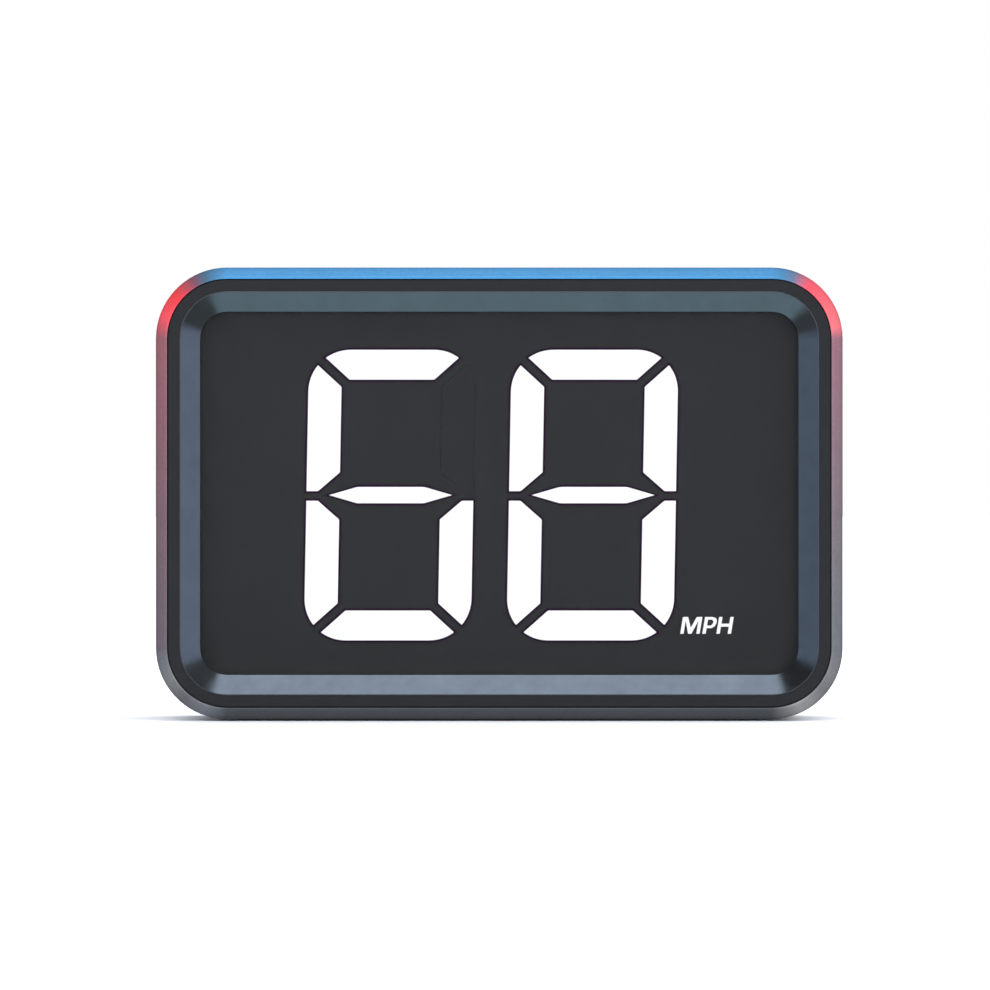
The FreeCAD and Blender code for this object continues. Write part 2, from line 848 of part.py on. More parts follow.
def make_grip_pad():
    body = new_body("grip_pad")
    sole = sketch_level(body, "sole", "-case_height / 2 - pad_proud")
    rounded(sole, "pad_wide", "pad_deep", "pad_corner")
    pad(body, sole, "pad_proud + pad_recess", backward=False)
    edges = []
    for number, edge in enumerate(body.Shape.Edges, start=1):
        if edge.BoundBox.ZMax < size("pad_edge"):
            edges.append("Edge" + str(number))
    bevel(body, edges, "pad_edge")


def make_case_screws():
    inserts = new_body("brass_inserts")
    sleeves = sketch_at(inserts, "sleeves", "boss_top - insert_long")
    circles(sleeves, BOSSES, "insert_radius")
    circles(sleeves, BOSSES, "case_screw_radius + insert_fit")
    pad(inserts, sleeves, "insert_long")
    screws = new_body("rear_screws")
    shanks = sketch_at(screws, "shanks", "case_screw_seat - case_screw_long")
    circles(shanks, BOSSES, "case_screw_radius")
    pad(screws, shanks, "case_screw_long + case_head_high / 2")
    heads = sketch_at(screws, "heads", "case_screw_seat")
    circles(heads, BOSSES, "case_head_radius")
    pad(screws, heads, "case_head_high")
    rims = circle_edges(screws, "case_screw_seat + case_head_high", "case_head_radius")
    soften(screws, rims, "button_edge")
    drives = sketch_at(screws, "drives", "case_screw_seat + case_head_high")
    for across, up in BOSSES:
        corners = []
        for corner in range(HEX_SIDES):
            angle = corner * 2 * math.pi / HEX_SIDES
            x = size(across) + size("hex_drive") * math.cos(angle)
            z = size(up) + size("hex_drive") * math.sin(angle)
            corners.append([Vector(x, z, 0)])
        draw_outline(drives, corners)
    pocket(screws, drives, "hex_deep", backward=False)


def make_case_seal():
    body = new_body("case_seal")
    ring = sketch_at(body, "ring", "rib_back")
    rounded(ring, *outline("seal_inset"))
    rounded(ring, *outline("seal_inner_inset"))
    pad(body, ring, "cover_front - rib_back")


# ---------------------------------------------------------------- display module


def cut_display_openings(body, depth, length):
    """Cut the digits' fourteen segments and the legend through a plate."""
    openings = sketch_at(body, "openings", depth)
    for centre_x in DIGITS.values():
        for steps in segment_outlines(centre_x, 0).values():
            draw_outline(openings, steps)
    pocket(body, openings, length)


def make_segment_mask():
    body = new_body("segment_mask")
    sheet_outline = sketch_at(body, "sheet", "-mask_front")
    rounded(sheet_outline, *outline("opening_inset + lens_gap"))
    pad(body, sheet_outline, "mask_front - lens_ledge")
    cut_display_openings(body, "-mask_front", "mask_front - lens_ledge")
    legend = sketch_at(body, "legend", "-mask_front")
    for steps in legend_outlines():
        draw_outline(legend, steps)
    pocket(body, legend, "mask_front - lens_ledge")


LEGEND_CELL = ("legend_left + legend_middle * legend_tall", "legend_up + legend_tall / 2")


def make_reflector_block():
    body = new_body("reflector_block")
    slab = sketch_at(body, "slab", "-lens_ledge")
    rounded(slab, "reflector_wide", "reflector_tall", "post_radius")
    pad(body, slab, "lens_ledge - display_board_front")
    cut_display_openings(body, "-lens_ledge", "lens_ledge - display_board_front")
    legend_cell = sketch_at(body, "legend_cell", "-lens_ledge", *LEGEND_CELL)
    wide = "legend_cell_wide * legend_tall"
    rounded(legend_cell, wide, "legend_cell_tall * legend_tall", "legend_tall / 4")
    pocket(body, legend_cell, "lens_ledge - display_board_front")


def make_segments():
    for name, centre_x in DIGITS.items():
        for letter, steps in segment_outlines(centre_x, size("segment_gap")).items():
            body = new_body(name + "_segment_" + letter)
            face = sketch_at(body, "face", "-segment_front")
            draw_outline(face, steps)
            pad(body, face, "segment_front - segment_back")
    body = new_body("unit_legend")
    letters = sketch_at(body, "letters", "-segment_front")
    for steps in legend_outlines():
        draw_outline(letters, steps)
    pad(body, letters, "segment_front - lens_ledge")
    backing = sketch_at(body, "backing", "-lens_ledge", *LEGEND_CELL)
    wide = "(legend_cell_wide - legend_cell_gap) * legend_tall"
    tall = "(legend_cell_tall - legend_cell_gap) * legend_tall"
    rounded(backing, wide, tall, "legend_tall / 4")
    pad(body, backing, "lens_ledge - segment_back")


def make_segment_leds():
    body = new_body("segment_leds")
    half_wide = size("digit_wide") / 2 - size("stroke_side") / 2
    half_tall = size("digit_tall") / 2 - size("stroke_end") / 2
    near = size("led_side_near") * half_tall
    far = size("led_side_far") * half_tall
    spots = []
    for centre_x in DIGITS.values():
        for across in (-size("led_end_x"), size("led_end_x")):
            for up in (half_tall, 0, -half_tall):
                spots.append((centre_x + across, up + size("digit_up")))
        for side in (-half_wide, half_wide):
            for up in (-far, -near, near, far):
                spots.append((centre_x + side, up + size("digit_up")))
    for across in (-size("led_legend_x"), size("led_legend_x")):
        spots.append((size(LEGEND_CELL[0]) + across, size(LEGEND_CELL[1])))
    dies = sketch_at(body, "dies", "-display_board_front")
    rectangles(dies, spots, "led_wide", "led_tall")
    pad(body, dies, "led_high", backward=False)


def make_display_board():
    body = new_body("display_board")
    panel = sketch_at(body, "panel", "-display_board_front")
    rounded(panel, "display_board_wide", "display_board_tall", "post_radius / 2")
    pad(body, panel, "display_board_front - display_board_back")
    ears = sketch_at(body, "ears", "-display_board_front")
    rounded(ears, "ear_wide", "ear_tall", "post_radius")
    pad(body, ears, "display_board_front - display_board_back")
    holes = sketch_at(body, "holes", "-display_board_front")
    circles(holes, EARS, "board_hole")
    pocket(body, holes, "display_board_front - display_board_back")
    screws = new_body("display_board_screws")
    heads = sketch_at(screws, "heads", "-display_board_back")
    circles(heads, EARS, "small_head_radius")
    pad(screws, heads, "small_head_high")
    shanks = sketch_at(screws, "shanks", "-display_board_front - ear_hole_deep + screw_short")
    circles(shanks, EARS, "small_screw_radius")
    pad(screws, shanks, "display_board_front - display_board_back + ear_hole_deep")


# ---------------------------------------------------------------- electronics


def make_main_board():
    body = new_body("main_board")
    panel = sketch_at(body, "panel", "board_front", "0", "board_up")
    rounded(panel, "board_wide", "board_tall", "post_radius / 2")
    pad(body, panel, "board_back - board_front")
    holes = sketch_at(body, "holes", "board_front")
    circles(holes, POSTS, "board_hole")
    pocket(body, holes, "board_back - board_front")
    screws = new_body("main_board_screws")
    heads = sketch_at(screws, "heads", "board_front - small_head_high")
    circles(heads, POSTS, "small_head_radius")
    pad(screws, heads, "small_head_high")
    shanks = sketch_at(screws, "shanks", "board_front - small_head_high / 2")
    circles(shanks, POSTS, "small_screw_radius")
    pad(screws, shanks, "small_head_high / 2 + board_back - board_front + post_hole_deep - screw_short")


def chip(label, name, tall, front, back):
    """A package on a board; its place and width are the cells that start with name."""
    keep(block(label, name + "_x", name + "_up", name + "_wide", tall, front, back))


def make_chips():
    chip("board_connector", "board_plug", "board_plug_tall", "-display_board_back", "board_front")
    chip("driver_chip", "driver", "driver_tall", "-display_board_back", "driver_high - display_board_back")
    chip("microcontroller", "controller", "controller_wide", "board_front - controller_high", "board_front")
    chip("gps_receiver", "receiver", "receiver_tall", "board_front - receiver_high", "board_front")
    chip("motion_sensor", "sensor", "sensor_wide", "board_front - sensor_high", "board_front")
    chip("battery_connector", "battery_plug", "battery_plug_tall", "board_back",
         "board_back + battery_plug_high")
    keep(block("gps_antenna", "antenna_x", "control_up", "antenna_wide", "antenna_wide",
               "board_back", "board_back + antenna_high"))
    chip_parts = new_body("chip_parts")
    row_of_parts = sketch_at(chip_parts, "row", "board_front")
    spots = []
    for number in range(CHIP_PART_COUNT):
        spots.append((size("chip_part_x") + number * size("chip_part_pitch"), size("chip_part_up")))
    rectangles(row_of_parts, spots, "led_wide", "led_tall")
    pad(chip_parts, row_of_parts, "led_high", backward=False)


def make_buzzer():
    can = block("buzzer_can", "buzzer_x", "control_up", "buzzer_wide", "buzzer_wide",
                "board_back", "board_back + buzzer_high")
    port = rod("buzzer_port", "buzzer_x", "control_up", "buzzer_port",
               "board_back + buzzer_high / 2", "board_back + buzzer_high + cut_clear")
    cut_from("buzzer", can, port)


def make_battery():
    cell = block("battery_block", "0", "battery_up", "battery_wide", "battery_tall",
                 "battery_front", "battery_back")
    doc.recompute()
    rounding = doc.addObject("Part::Fillet", "battery_cell")
    rounding.Label = "battery_cell"
    rounding.Base = cell
    edges = []
    for number, edge in enumerate(cell.Shape.Edges, start=1):
        if edge.BoundBox.XLength < NEAR:
            edges.append((number, size("battery_edge"), size("battery_edge")))
    rounding.Edges = edges
    keep(rounding)
    keep(block("battery_tape", "0", "battery_up", "battery_wide - 2 * battery_tape_inset",
               "battery_tall - 2 * battery_tape_inset", "battery_back", "cover_floor"))


def make_usb_receptacle():
    body = new_body("usb_receptacle")
    shell = sketch_at(body, "shell", "board_back", "port_x", "control_up")
    rounded(shell, "port_wide", "port_tall", "port_tall / 2 - port_flat")
    pad(body, shell, "port_back - board_back")
    mouth = sketch_at(body, "mouth", "port_back", "port_x", "control_up")
    rounded(mouth, "port_inner_wide", "port_inner_tall", "port_inner_tall / 2 - port_flat / 2")
    pocket(body, mouth, "port_back - port_floor", backward=False)
    tongue = sketch_at(body, "tongue", "port_floor - overlap", "port_x", "control_up")
    rounded(tongue, "tongue_wide", "tongue_tall", "tongue_tall / 4")
    pad(body, tongue, "tongue_back - port_floor + overlap")


def make_switch(name, across):
    """A push switch on the main board, its plunger, and the button cap that presses it."""
    housing = block(name + "_switch_block", across, "control_up", "switch_wide", "switch_wide",
                    "board_back", "switch_back")
    bore = rod(name + "_switch_bore", across, "control_up", "plunger_radius + plunger_gap",
               "switch_bore_floor", "switch_back + cut_clear")
    cut_from(name + "_switch", housing, bore)
    keep(rod(name + "_plunger", across, "control_up", "plunger_radius", "plunger_front", "plunger_back"))
    body = new_body(name + "_button")
    stem = sketch_at(body, "stem", "plunger_back", across, "control_up")
    circles(stem, [("0", "0")], "plunger_radius")
    pad(body, stem, "button_flange_back - plunger_back")
    flange = sketch_at(body, "flange", "button_flange_front", across, "control_up")
    circles(flange, [("0", "0")], "button_flange")
    pad(body, flange, "button_flange_back - button_flange_front")
    cap = sketch_at(body, "cap", "button_flange_front", across, "control_up")
    circles(cap, [("0", "0")], "button_radius")
    pad(body, cap, "button_face - button_flange_front")
    soften(body, circle_edges(body, "button_face", "button_radius"), "button_edge")


# ---------------------------------------------------------------- wires


def bent_path(points, bend):
    """A wire through the points: straight runs joined by tangent arcs of one radius."""
    edges = []
    start = points[0]
    for previous, corner, following in zip(points, points[1:], points[2:]):
        back = (previous - corner).normalize()
        ahead = (following - corner).normalize()
        half_turn = back.getAngle(ahead) / 2
        setback = bend / math.tan(half_turn)
        centre = corner + (back + ahead).normalize() * (bend / math.sin(half_turn))
        arc_start = corner + back * setback
        arc_end = corner + ahead * setback
        arc_middle = centre + (corner - centre).normalize() * bend
        edges.append(Part.LineSegment(start, arc_start).toShape())
        edges.append(Part.Arc(arc_start, arc_middle, arc_end).toShape())
        start = arc_end
    edges.append(Part.LineSegment(start, points[-1]).toShape())
    return Part.Wire(edges)


def insulated_wire(points):
    """A round wire along a bent path."""
    path = bent_path(points, size("wire_bend"))
    direction = (points[1] - points[0]).normalize()
    profile = Part.Wire(Part.makeCircle(size("wire_radius"), points[0], direction))
    solid = path.makePipeShell([profile], True, False)
    section = math.pi * size("wire_radius") ** 2
    if abs(solid.Volume - section * path.Length) > WIRE_SLACK * solid.Volume:
        raise RuntimeError("a wire's volume is not its section times its length")
    return solid


def make_battery_leads():
    depth = size("wire_depth")
    battery_low = size("battery_up - battery_tall / 2")
    wires = []
    for number in range(2):
        start_x = size("lead_start_x") + number * size("lead_start_pitch")
        level = battery_low - (number + 1) * size("lead_level_pitch")
        end_x = size("lead_end_x") + number * size("lead_end_pitch")
        wires.append(insulated_wire([
            Vector(start_x, depth, battery_low),
            Vector(start_x, depth, level),
            Vector(end_x, depth, level),
            Vector(end_x, depth, size("lead_end_up")),
        ]))
    shape_part("battery_leads", Part.makeCompound(wires))


def make_solar_leads():
    level = size("lead_hole_up")
    low = level - size("solar_lead_drop")
    board = size("board_back")
    turn = board + size("solar_lead_turn")
    wires = []
    for side in (-0.5, 0.5):
        across = size("lead_hole_x") + side * size("solar_lead_pitch")
        wires.append(insulated_wire([
            Vector(across, size("solar_board_front"), level),
            Vector(across, turn, level),
            Vector(across, turn, low),
            Vector(across, board, low),
        ]))
    shape_part("solar_leads", Part.makeCompound(wires))


# ---------------------------------------------------------------- rear cover


def make_rear_cover():
    body = new_body("rear_cover")
    shell = sketch_at(body, "shell", "cover_front")
    rounded(shell, *outline("shell_inset"))
    pad(body, shell, "half_depth - cover_front")
    inside = sketch_at(body, "inside", "cover_front")
    rounded(inside, *outline("shell_wall_inset"))
    pocket(body, inside, "cover_floor - cover_front")
    controls = sketch_at(body, "controls", "cover_front", "0", "control_up")
    rounded(controls, "control_wide", "control_tall", "post_radius")
    pocket(body, controls, "control_floor - cover_front")
    backing = sketch_at(body, "port_backing", "cover_floor", "flap_recess_x", "control_up")
    rounded(backing, "flap_backing_wide", "flap_backing_tall", "post_radius")
    pad(body, backing, "control_floor - cover_floor + strip_deep")
    bosses = sketch_at(body, "bosses", "boss_top")
    circles(bosses, BOSSES, "boss_radius")
    pad(body, bosses, "case_screw_seat - boss_top")
    posts = sketch_at(body, "posts", "board_back")
    circles(posts, POSTS, "post_radius")
    pad(body, posts, "control_floor - board_back + strip_deep")
    solar_bay = sketch_at(body, "solar_bay", "half_depth", "0", "solar_up")
    rounded(solar_bay, "solar_wide + 2 * solar_gap", "solar_tall + 2 * solar_gap", "solar_corner")
    pocket(body, solar_bay, "solar_deep", backward=False)
    strip = sketch_at(body, "control_strip", "half_depth", "0", "control_up")
    rounded(strip, "strip_wide", "strip_tall", "solar_corner")
    pocket(body, strip, "strip_deep", backward=False)
    flap_bay = sketch_at(body, "flap_bay", "half_depth", "flap_recess_x", "control_up")
    rounded(flap_bay, "flap_recess_wide", "flap_recess_tall", "flap_recess_corner")
    pocket(body, flap_bay, "half_depth - flap_recess_floor", backward=False)
    notch = sketch_at(body, "nail_notch", "half_depth", "0", "control_up")
    circles(notch, [("notch_x", "0")], "notch_radius")
    pocket(body, notch, "half_depth - notch_floor", backward=False)
    port = sketch_at(body, "port_hole", "half_depth", "port_x", "control_up")
    rounded(port, "port_wide + 2 * port_gap", "port_tall + 2 * port_gap", "port_tall / 2")
    pocket(body, port, "half_depth - cover_floor + cut_clear", backward=False)
    anchor = sketch_at(body, "anchor_hole", "half_depth", "0", "control_up")
    circles(anchor, [("anchor_x", "0")], "stem_hole")
    pocket(body, anchor, "half_depth - cover_floor + cut_clear", backward=False)
    buttons = sketch_at(body, "button_holes", "half_depth", "0", "control_up")
    circles(buttons, [("power_x", "0"), ("mode_x", "0")], "button_radius + button_gap")
    pocket(body, buttons, "half_depth - control_floor + cut_clear", backward=False)
    sound = sketch_at(body, "sound_holes", "half_depth", "buzzer_x", "control_up")
    cross = [("sound_pitch", "0"), ("-sound_pitch", "0"), ("0", "sound_pitch"), ("0", "-sound_pitch")]
    circles(sound, [("0", "0"), *cross], "sound_hole")
    pocket(body, sound, "half_depth - control_floor + cut_clear", backward=False)
    lead_hole = sketch_at(body, "lead_hole", "half_depth", "0", "0")
    circles(lead_hole, [("lead_hole_x", "lead_hole_up")], "lead_hole_radius")
    pocket(body, lead_hole, "half_depth - cover_floor + cut_clear", backward=False)
    counterbores = sketch_at(body, "counterbores", "half_depth")
    circles(counterbores, BOSSES, "counterbore_radius")
    pocket(body, counterbores, "half_depth - case_screw_seat", backward=False)
    screw_holes = sketch_at(body, "screw_holes", "half_depth")
    circles(screw_holes, BOSSES, "pilot_radius")
    pocket(body, screw_holes, "half_depth - boss_top + cut_clear", backward=False)
    post_holes = sketch_at(body, "post_holes", "board_back")
    circles(post_holes, POSTS, "post_hole")
    pocket(body, post_holes, "post_hole_deep")
    bevel(body, outline_edges(body, "half_depth", *outline("shell_inset")), "micro_edge")
    bay = outline_edges(body, "half_depth", "solar_wide + 2 * solar_gap", "solar_tall + 2 * solar_gap",
                        "solar_corner", "0", "solar_up")
    bevel(body, bay, "micro_edge")
    bevel(body, circle_edges(body, "half_depth", "counterbore_radius"), "micro_edge")
    holes = circle_edges(body, "half_depth - strip_deep", "button_radius + button_gap")
    bevel(body, holes, "micro_edge")


def make_solar_panel():
    board = new_body("solar_board")
    panel = sketch_at(board, "panel", "solar_board_front", "0", "solar_up")
    rounded(panel, "solar_wide", "solar_tall", "solar_corner - solar_gap")
    pad(board, panel, "solar_board_back - solar_board_front")
    first = -(CELL_COUNT - 1) / 2
    columns = [(first + number) * size("cell_pitch") for number in range(CELL_COUNT)]
    cells = new_body("solar_cells")
    strips = sketch_at(cells, "strips", "solar_board_back", "0", "solar_up")
    rectangles(strips, [(across, 0) for across in columns], "cell_wide", "cell_tall")
    pad(cells, strips, "cell_back - solar_board_back")
    ribbons = new_body("solar_ribbons")
    tabs = sketch_at(ribbons, "tabs", "cell_back", "0", "solar_up")
    joints = [(left + right) / 2 for left, right in zip(columns, columns[1:])]
    spots = [(across, up) for across in joints for up in (-size("ribbon_up"), size("ribbon_up"))]
    rectangles(tabs, spots, "ribbon_wide", "ribbon_tall")
    pad(ribbons, tabs, "ribbon_back - cell_back")
    glaze = new_body("solar_glaze")
    cover = sketch_at(glaze, "cover", "glaze_front", "0", "solar_up")
    rounded(cover, "solar_wide", "solar_tall", "solar_corner - solar_gap")
    pad(glaze, cover, "glaze_back - glaze_front")
    rim = outline_edges(glaze, "glaze_back", "solar_wide", "solar_tall", "solar_corner - solar_gap",
                        "0", "solar_up")
    bevel(glaze, rim, "micro_edge")
    tape = new_body("solar_tape")
    film = sketch_at(tape, "film", "half_depth - solar_deep", "0", "solar_up")
    rounded(film, "solar_wide - 2 * film_inset", "solar_tall - 2 * film_inset", "solar_corner - solar_gap")
    pad(tape, film, "solar_board_front - half_depth + solar_deep")
    clear = sketch_at(tape, "lead_notch", "half_depth - solar_deep")
    circles(clear, [("lead_hole_x", "lead_hole_up")], "lead_hole_radius + solar_gap")
    pocket(tape, clear, "solar_board_front - half_depth + solar_deep")


def make_port_flap():
    flap = new_body("port_flap")
    plate = sketch_at(flap, "plate", "flap_front", "flap_x", "control_up")
    rounded(plate, "flap_wide", "flap_tall", "solar_corner - solar_gap")
    pad(flap, plate, "flap_back - flap_front")
    lip = sketch_at(flap, "lip", "lip_front", "port_x", "control_up")
    rounded(lip, "lip_wide", "lip_tall", "lip_tall / 2 - port_flat / 2")
    pad(flap, lip, "flap_front - lip_front + overlap")
    rim = outline_edges(flap, "flap_back", "flap_wide", "flap_tall", "solar_corner - solar_gap",
                        "flap_x", "control_up")
    soften(flap, rim, "flap_edge")
    anchor = new_body("flap_anchor")
    head = sketch_at(anchor, "head", "flap_recess_floor", "anchor_x", "control_up")
    rounded(head, "anchor_wide", "flap_tall", "anchor_corner")
    pad(anchor, head, "flap_back - flap_recess_floor")
    stem = sketch_at(anchor, "stem", "stem_front", "0", "control_up")
    circles(stem, [("anchor_x", "0")], "stem_radius")
    pad(anchor, stem, "flap_recess_floor - stem_front + overlap")
    bulb = sketch_at(anchor, "bulb", "stem_front", "0", "control_up")
    circles(bulb, [("anchor_x", "0")], "stem_bulb")
    pad(anchor, bulb, "cover_floor - stem_front - bulb_gap")


# ---------------------------------------------------------------- the whole object

make_side_band()
make_front_housing()
make_screen_trim()
make_window()
make_segment_mask()
make_reflector_block()
make_segments()
make_segment_leds()
make_display_board()
make_main_board()
make_chips()
make_buzzer()
make_usb_receptacle()
make_switch("power", "power_x")
make_switch("mode", "mode_x")
make_battery()
make_battery_leads()
make_rear_cover()
make_case_seal()
make_solar_panel()
make_solar_leads()
make_port_flap()
make_case_screws()
make_grip_pad()
doc.recompute()

for item in doc.Objects:
    if "Invalid" in item.State or "Error" in item.State:
        raise RuntimeError(item.Label + " failed: " + str(item.State))
for item in sub_parts:
    if item.Shape.isNull() or not item.Shape.isValid() or not item.Shape.Solids:
        raise RuntimeError(item.Label + " has no valid solid")

os.makedirs("parts", exist_ok=True)
for item in sub_parts:
    item.Shape.exportStep(os.path.join("parts", item.Label + ".step"))
    print(item.Label, len(item.Shape.Solids), "solids", round(item.Shape.Volume, 1), "mm3")
print(len(sub_parts), "sub-parts")
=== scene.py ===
import json
import math

import bmesh
import bpy
from mathutils import Matrix, Vector


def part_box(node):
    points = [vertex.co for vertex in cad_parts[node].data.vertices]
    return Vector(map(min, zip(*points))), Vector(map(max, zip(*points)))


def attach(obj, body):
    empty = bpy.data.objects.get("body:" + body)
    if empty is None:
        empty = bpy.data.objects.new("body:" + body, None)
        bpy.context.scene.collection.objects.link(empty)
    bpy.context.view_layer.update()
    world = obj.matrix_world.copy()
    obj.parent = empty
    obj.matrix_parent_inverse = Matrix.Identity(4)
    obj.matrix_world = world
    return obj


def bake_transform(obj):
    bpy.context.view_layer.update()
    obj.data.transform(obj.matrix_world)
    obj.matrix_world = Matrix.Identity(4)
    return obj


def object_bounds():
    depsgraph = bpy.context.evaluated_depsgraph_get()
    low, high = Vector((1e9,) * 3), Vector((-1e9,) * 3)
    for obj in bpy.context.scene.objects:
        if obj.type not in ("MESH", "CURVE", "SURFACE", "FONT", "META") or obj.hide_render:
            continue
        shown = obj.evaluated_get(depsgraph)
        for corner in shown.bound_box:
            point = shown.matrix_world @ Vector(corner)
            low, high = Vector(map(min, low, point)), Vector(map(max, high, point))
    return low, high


# The looks of a dash-top solar speed display, built round its CAD frame.
# Metres throughout; X to the right seen from the front, Y from front to back, Z up.

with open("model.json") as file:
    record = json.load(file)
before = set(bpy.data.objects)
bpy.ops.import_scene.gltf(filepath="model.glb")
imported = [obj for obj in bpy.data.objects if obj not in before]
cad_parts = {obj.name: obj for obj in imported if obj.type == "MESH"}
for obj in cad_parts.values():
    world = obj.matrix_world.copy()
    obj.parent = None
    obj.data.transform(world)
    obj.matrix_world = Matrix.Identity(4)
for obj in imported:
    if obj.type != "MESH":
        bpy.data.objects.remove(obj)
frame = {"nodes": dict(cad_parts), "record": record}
cad_low, cad_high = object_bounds()
MM = 0.001

# ---------------------------------------------------------------- places, from the frame

band_low, band_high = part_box("side_band")
WIDTH = band_high.x - band_low.x
CASE_TALL = band_high.z - band_low.z
CASE_MIDDLE = (band_low + band_high) / 2
CORNER_RADIUS = 0.104 * WIDTH
FRONT_BEVEL = 0.0152 * WIDTH

# ---------------------------------------------------------------- camera

LENS = 200.0
SENSOR = 36.0
VIEW_WIDTH = 1.4415 * WIDTH
CAMERA_ACROSS = -0.0062 * WIDTH
CAMERA_DROP = -0.0025 * WIDTH


def make_camera():
    """Straight on to the display, a little left of and below its middle."""
    data = bpy.data.cameras.new("camera")
    data.lens = LENS
    data.sensor_width = SENSOR
    data.clip_start = 0.01
    data.clip_end = 20
    camera = bpy.data.objects.new("camera", data)
    distance = VIEW_WIDTH * LENS / SENSOR
    rim_depth = band_low.y + FRONT_BEVEL
    across = CASE_MIDDLE.x + CAMERA_ACROSS
    up = CASE_MIDDLE.z + CAMERA_DROP
    camera.location = (across, rim_depth - distance, up)
    camera.rotation_euler = (math.pi / 2, 0, 0)
    bpy.context.scene.collection.objects.link(camera)
    bpy.context.scene.camera = camera


make_camera()
bpy.context.scene.view_settings.view_transform = "Standard"

# ---------------------------------------------------------------- colour and node helpers


def linear(red, green, blue):
    """Screen colour, 0 to 255, as linear light."""
    channels = []
    for value in (red, green, blue):
        share = value / 255
        channels.append(share / 12.92 if share <= 0.04045 else ((share + 0.055) / 1.055) ** 2.4)
    return tuple(channels)


def dimmed(colour, factor):
    return tuple(channel * factor for channel in colour[:3])


class Tree:
    """Short ways to build a node tree."""

    def __init__(self, tree):
        self.tree = tree
        tree.nodes.clear()

    def node(self, kind, **settings):
        made = self.tree.nodes.new(kind)
        for name, value in settings.items():
            setattr(made, name, value)
        return made

    def join(self, source, target):
        self.tree.links.new(source, target)

    def value(self, number_or_socket, target):
        if isinstance(number_or_socket, (int, float)):
            target.default_value = number_or_socket
        else:
            self.join(number_or_socket, target)

    def math(self, operation, first, second=0.0):
        made = self.node("ShaderNodeMath", operation=operation)
        self.value(first, made.inputs[0])
        self.value(second, made.inputs[1])
        return made.outputs[0]

    def ranged(self, source, low, high, to_low=0.0, to_high=1.0, smooth=False):
        kind = "SMOOTHSTEP" if smooth else "LINEAR"
        made = self.node("ShaderNodeMapRange", interpolation_type=kind)
        self.join(source, made.inputs["Value"])
        made.inputs["From Min"].default_value = low
        made.inputs["From Max"].default_value = high
        made.inputs["To Min"].default_value = to_low
        made.inputs["To Max"].default_value = to_high
        return made.outputs["Result"]

    def mix(self, factor, first, second, blend="MIX"):
        made = self.node("ShaderNodeMix", data_type="RGBA", blend_type=blend)
        self.value(factor, made.inputs["Factor"])
        for colour, socket in ((first, made.inputs[6]), (second, made.inputs[7])):
            if isinstance(colour, tuple):
                socket.default_value = (*colour[:3], 1.0)
            else:
                self.join(colour, socket)
        return made.outputs[2]

    def ramp(self, source, stops):
        made = self.node("ShaderNodeValToRGB")
        elements = made.color_ramp.elements
        while len(elements) > 1:
            elements.remove(elements[-1])
        elements[0].position = stops[0][0]
        elements[0].color = (*stops[0][1][:3], 1.0)
        for position, colour in stops[1:]:
            element = elements.new(position)
            element.color = (*colour[:3], 1.0)
        self.join(source, made.inputs["Fac"])
        return made.outputs["Color"]

    def grey(self, shade):
        """A number as a grey of that lightness."""
        made = self.node("ShaderNodeCombineXYZ")
        for socket in made.inputs:
            self.join(shade, socket)
        return made.outputs[0]


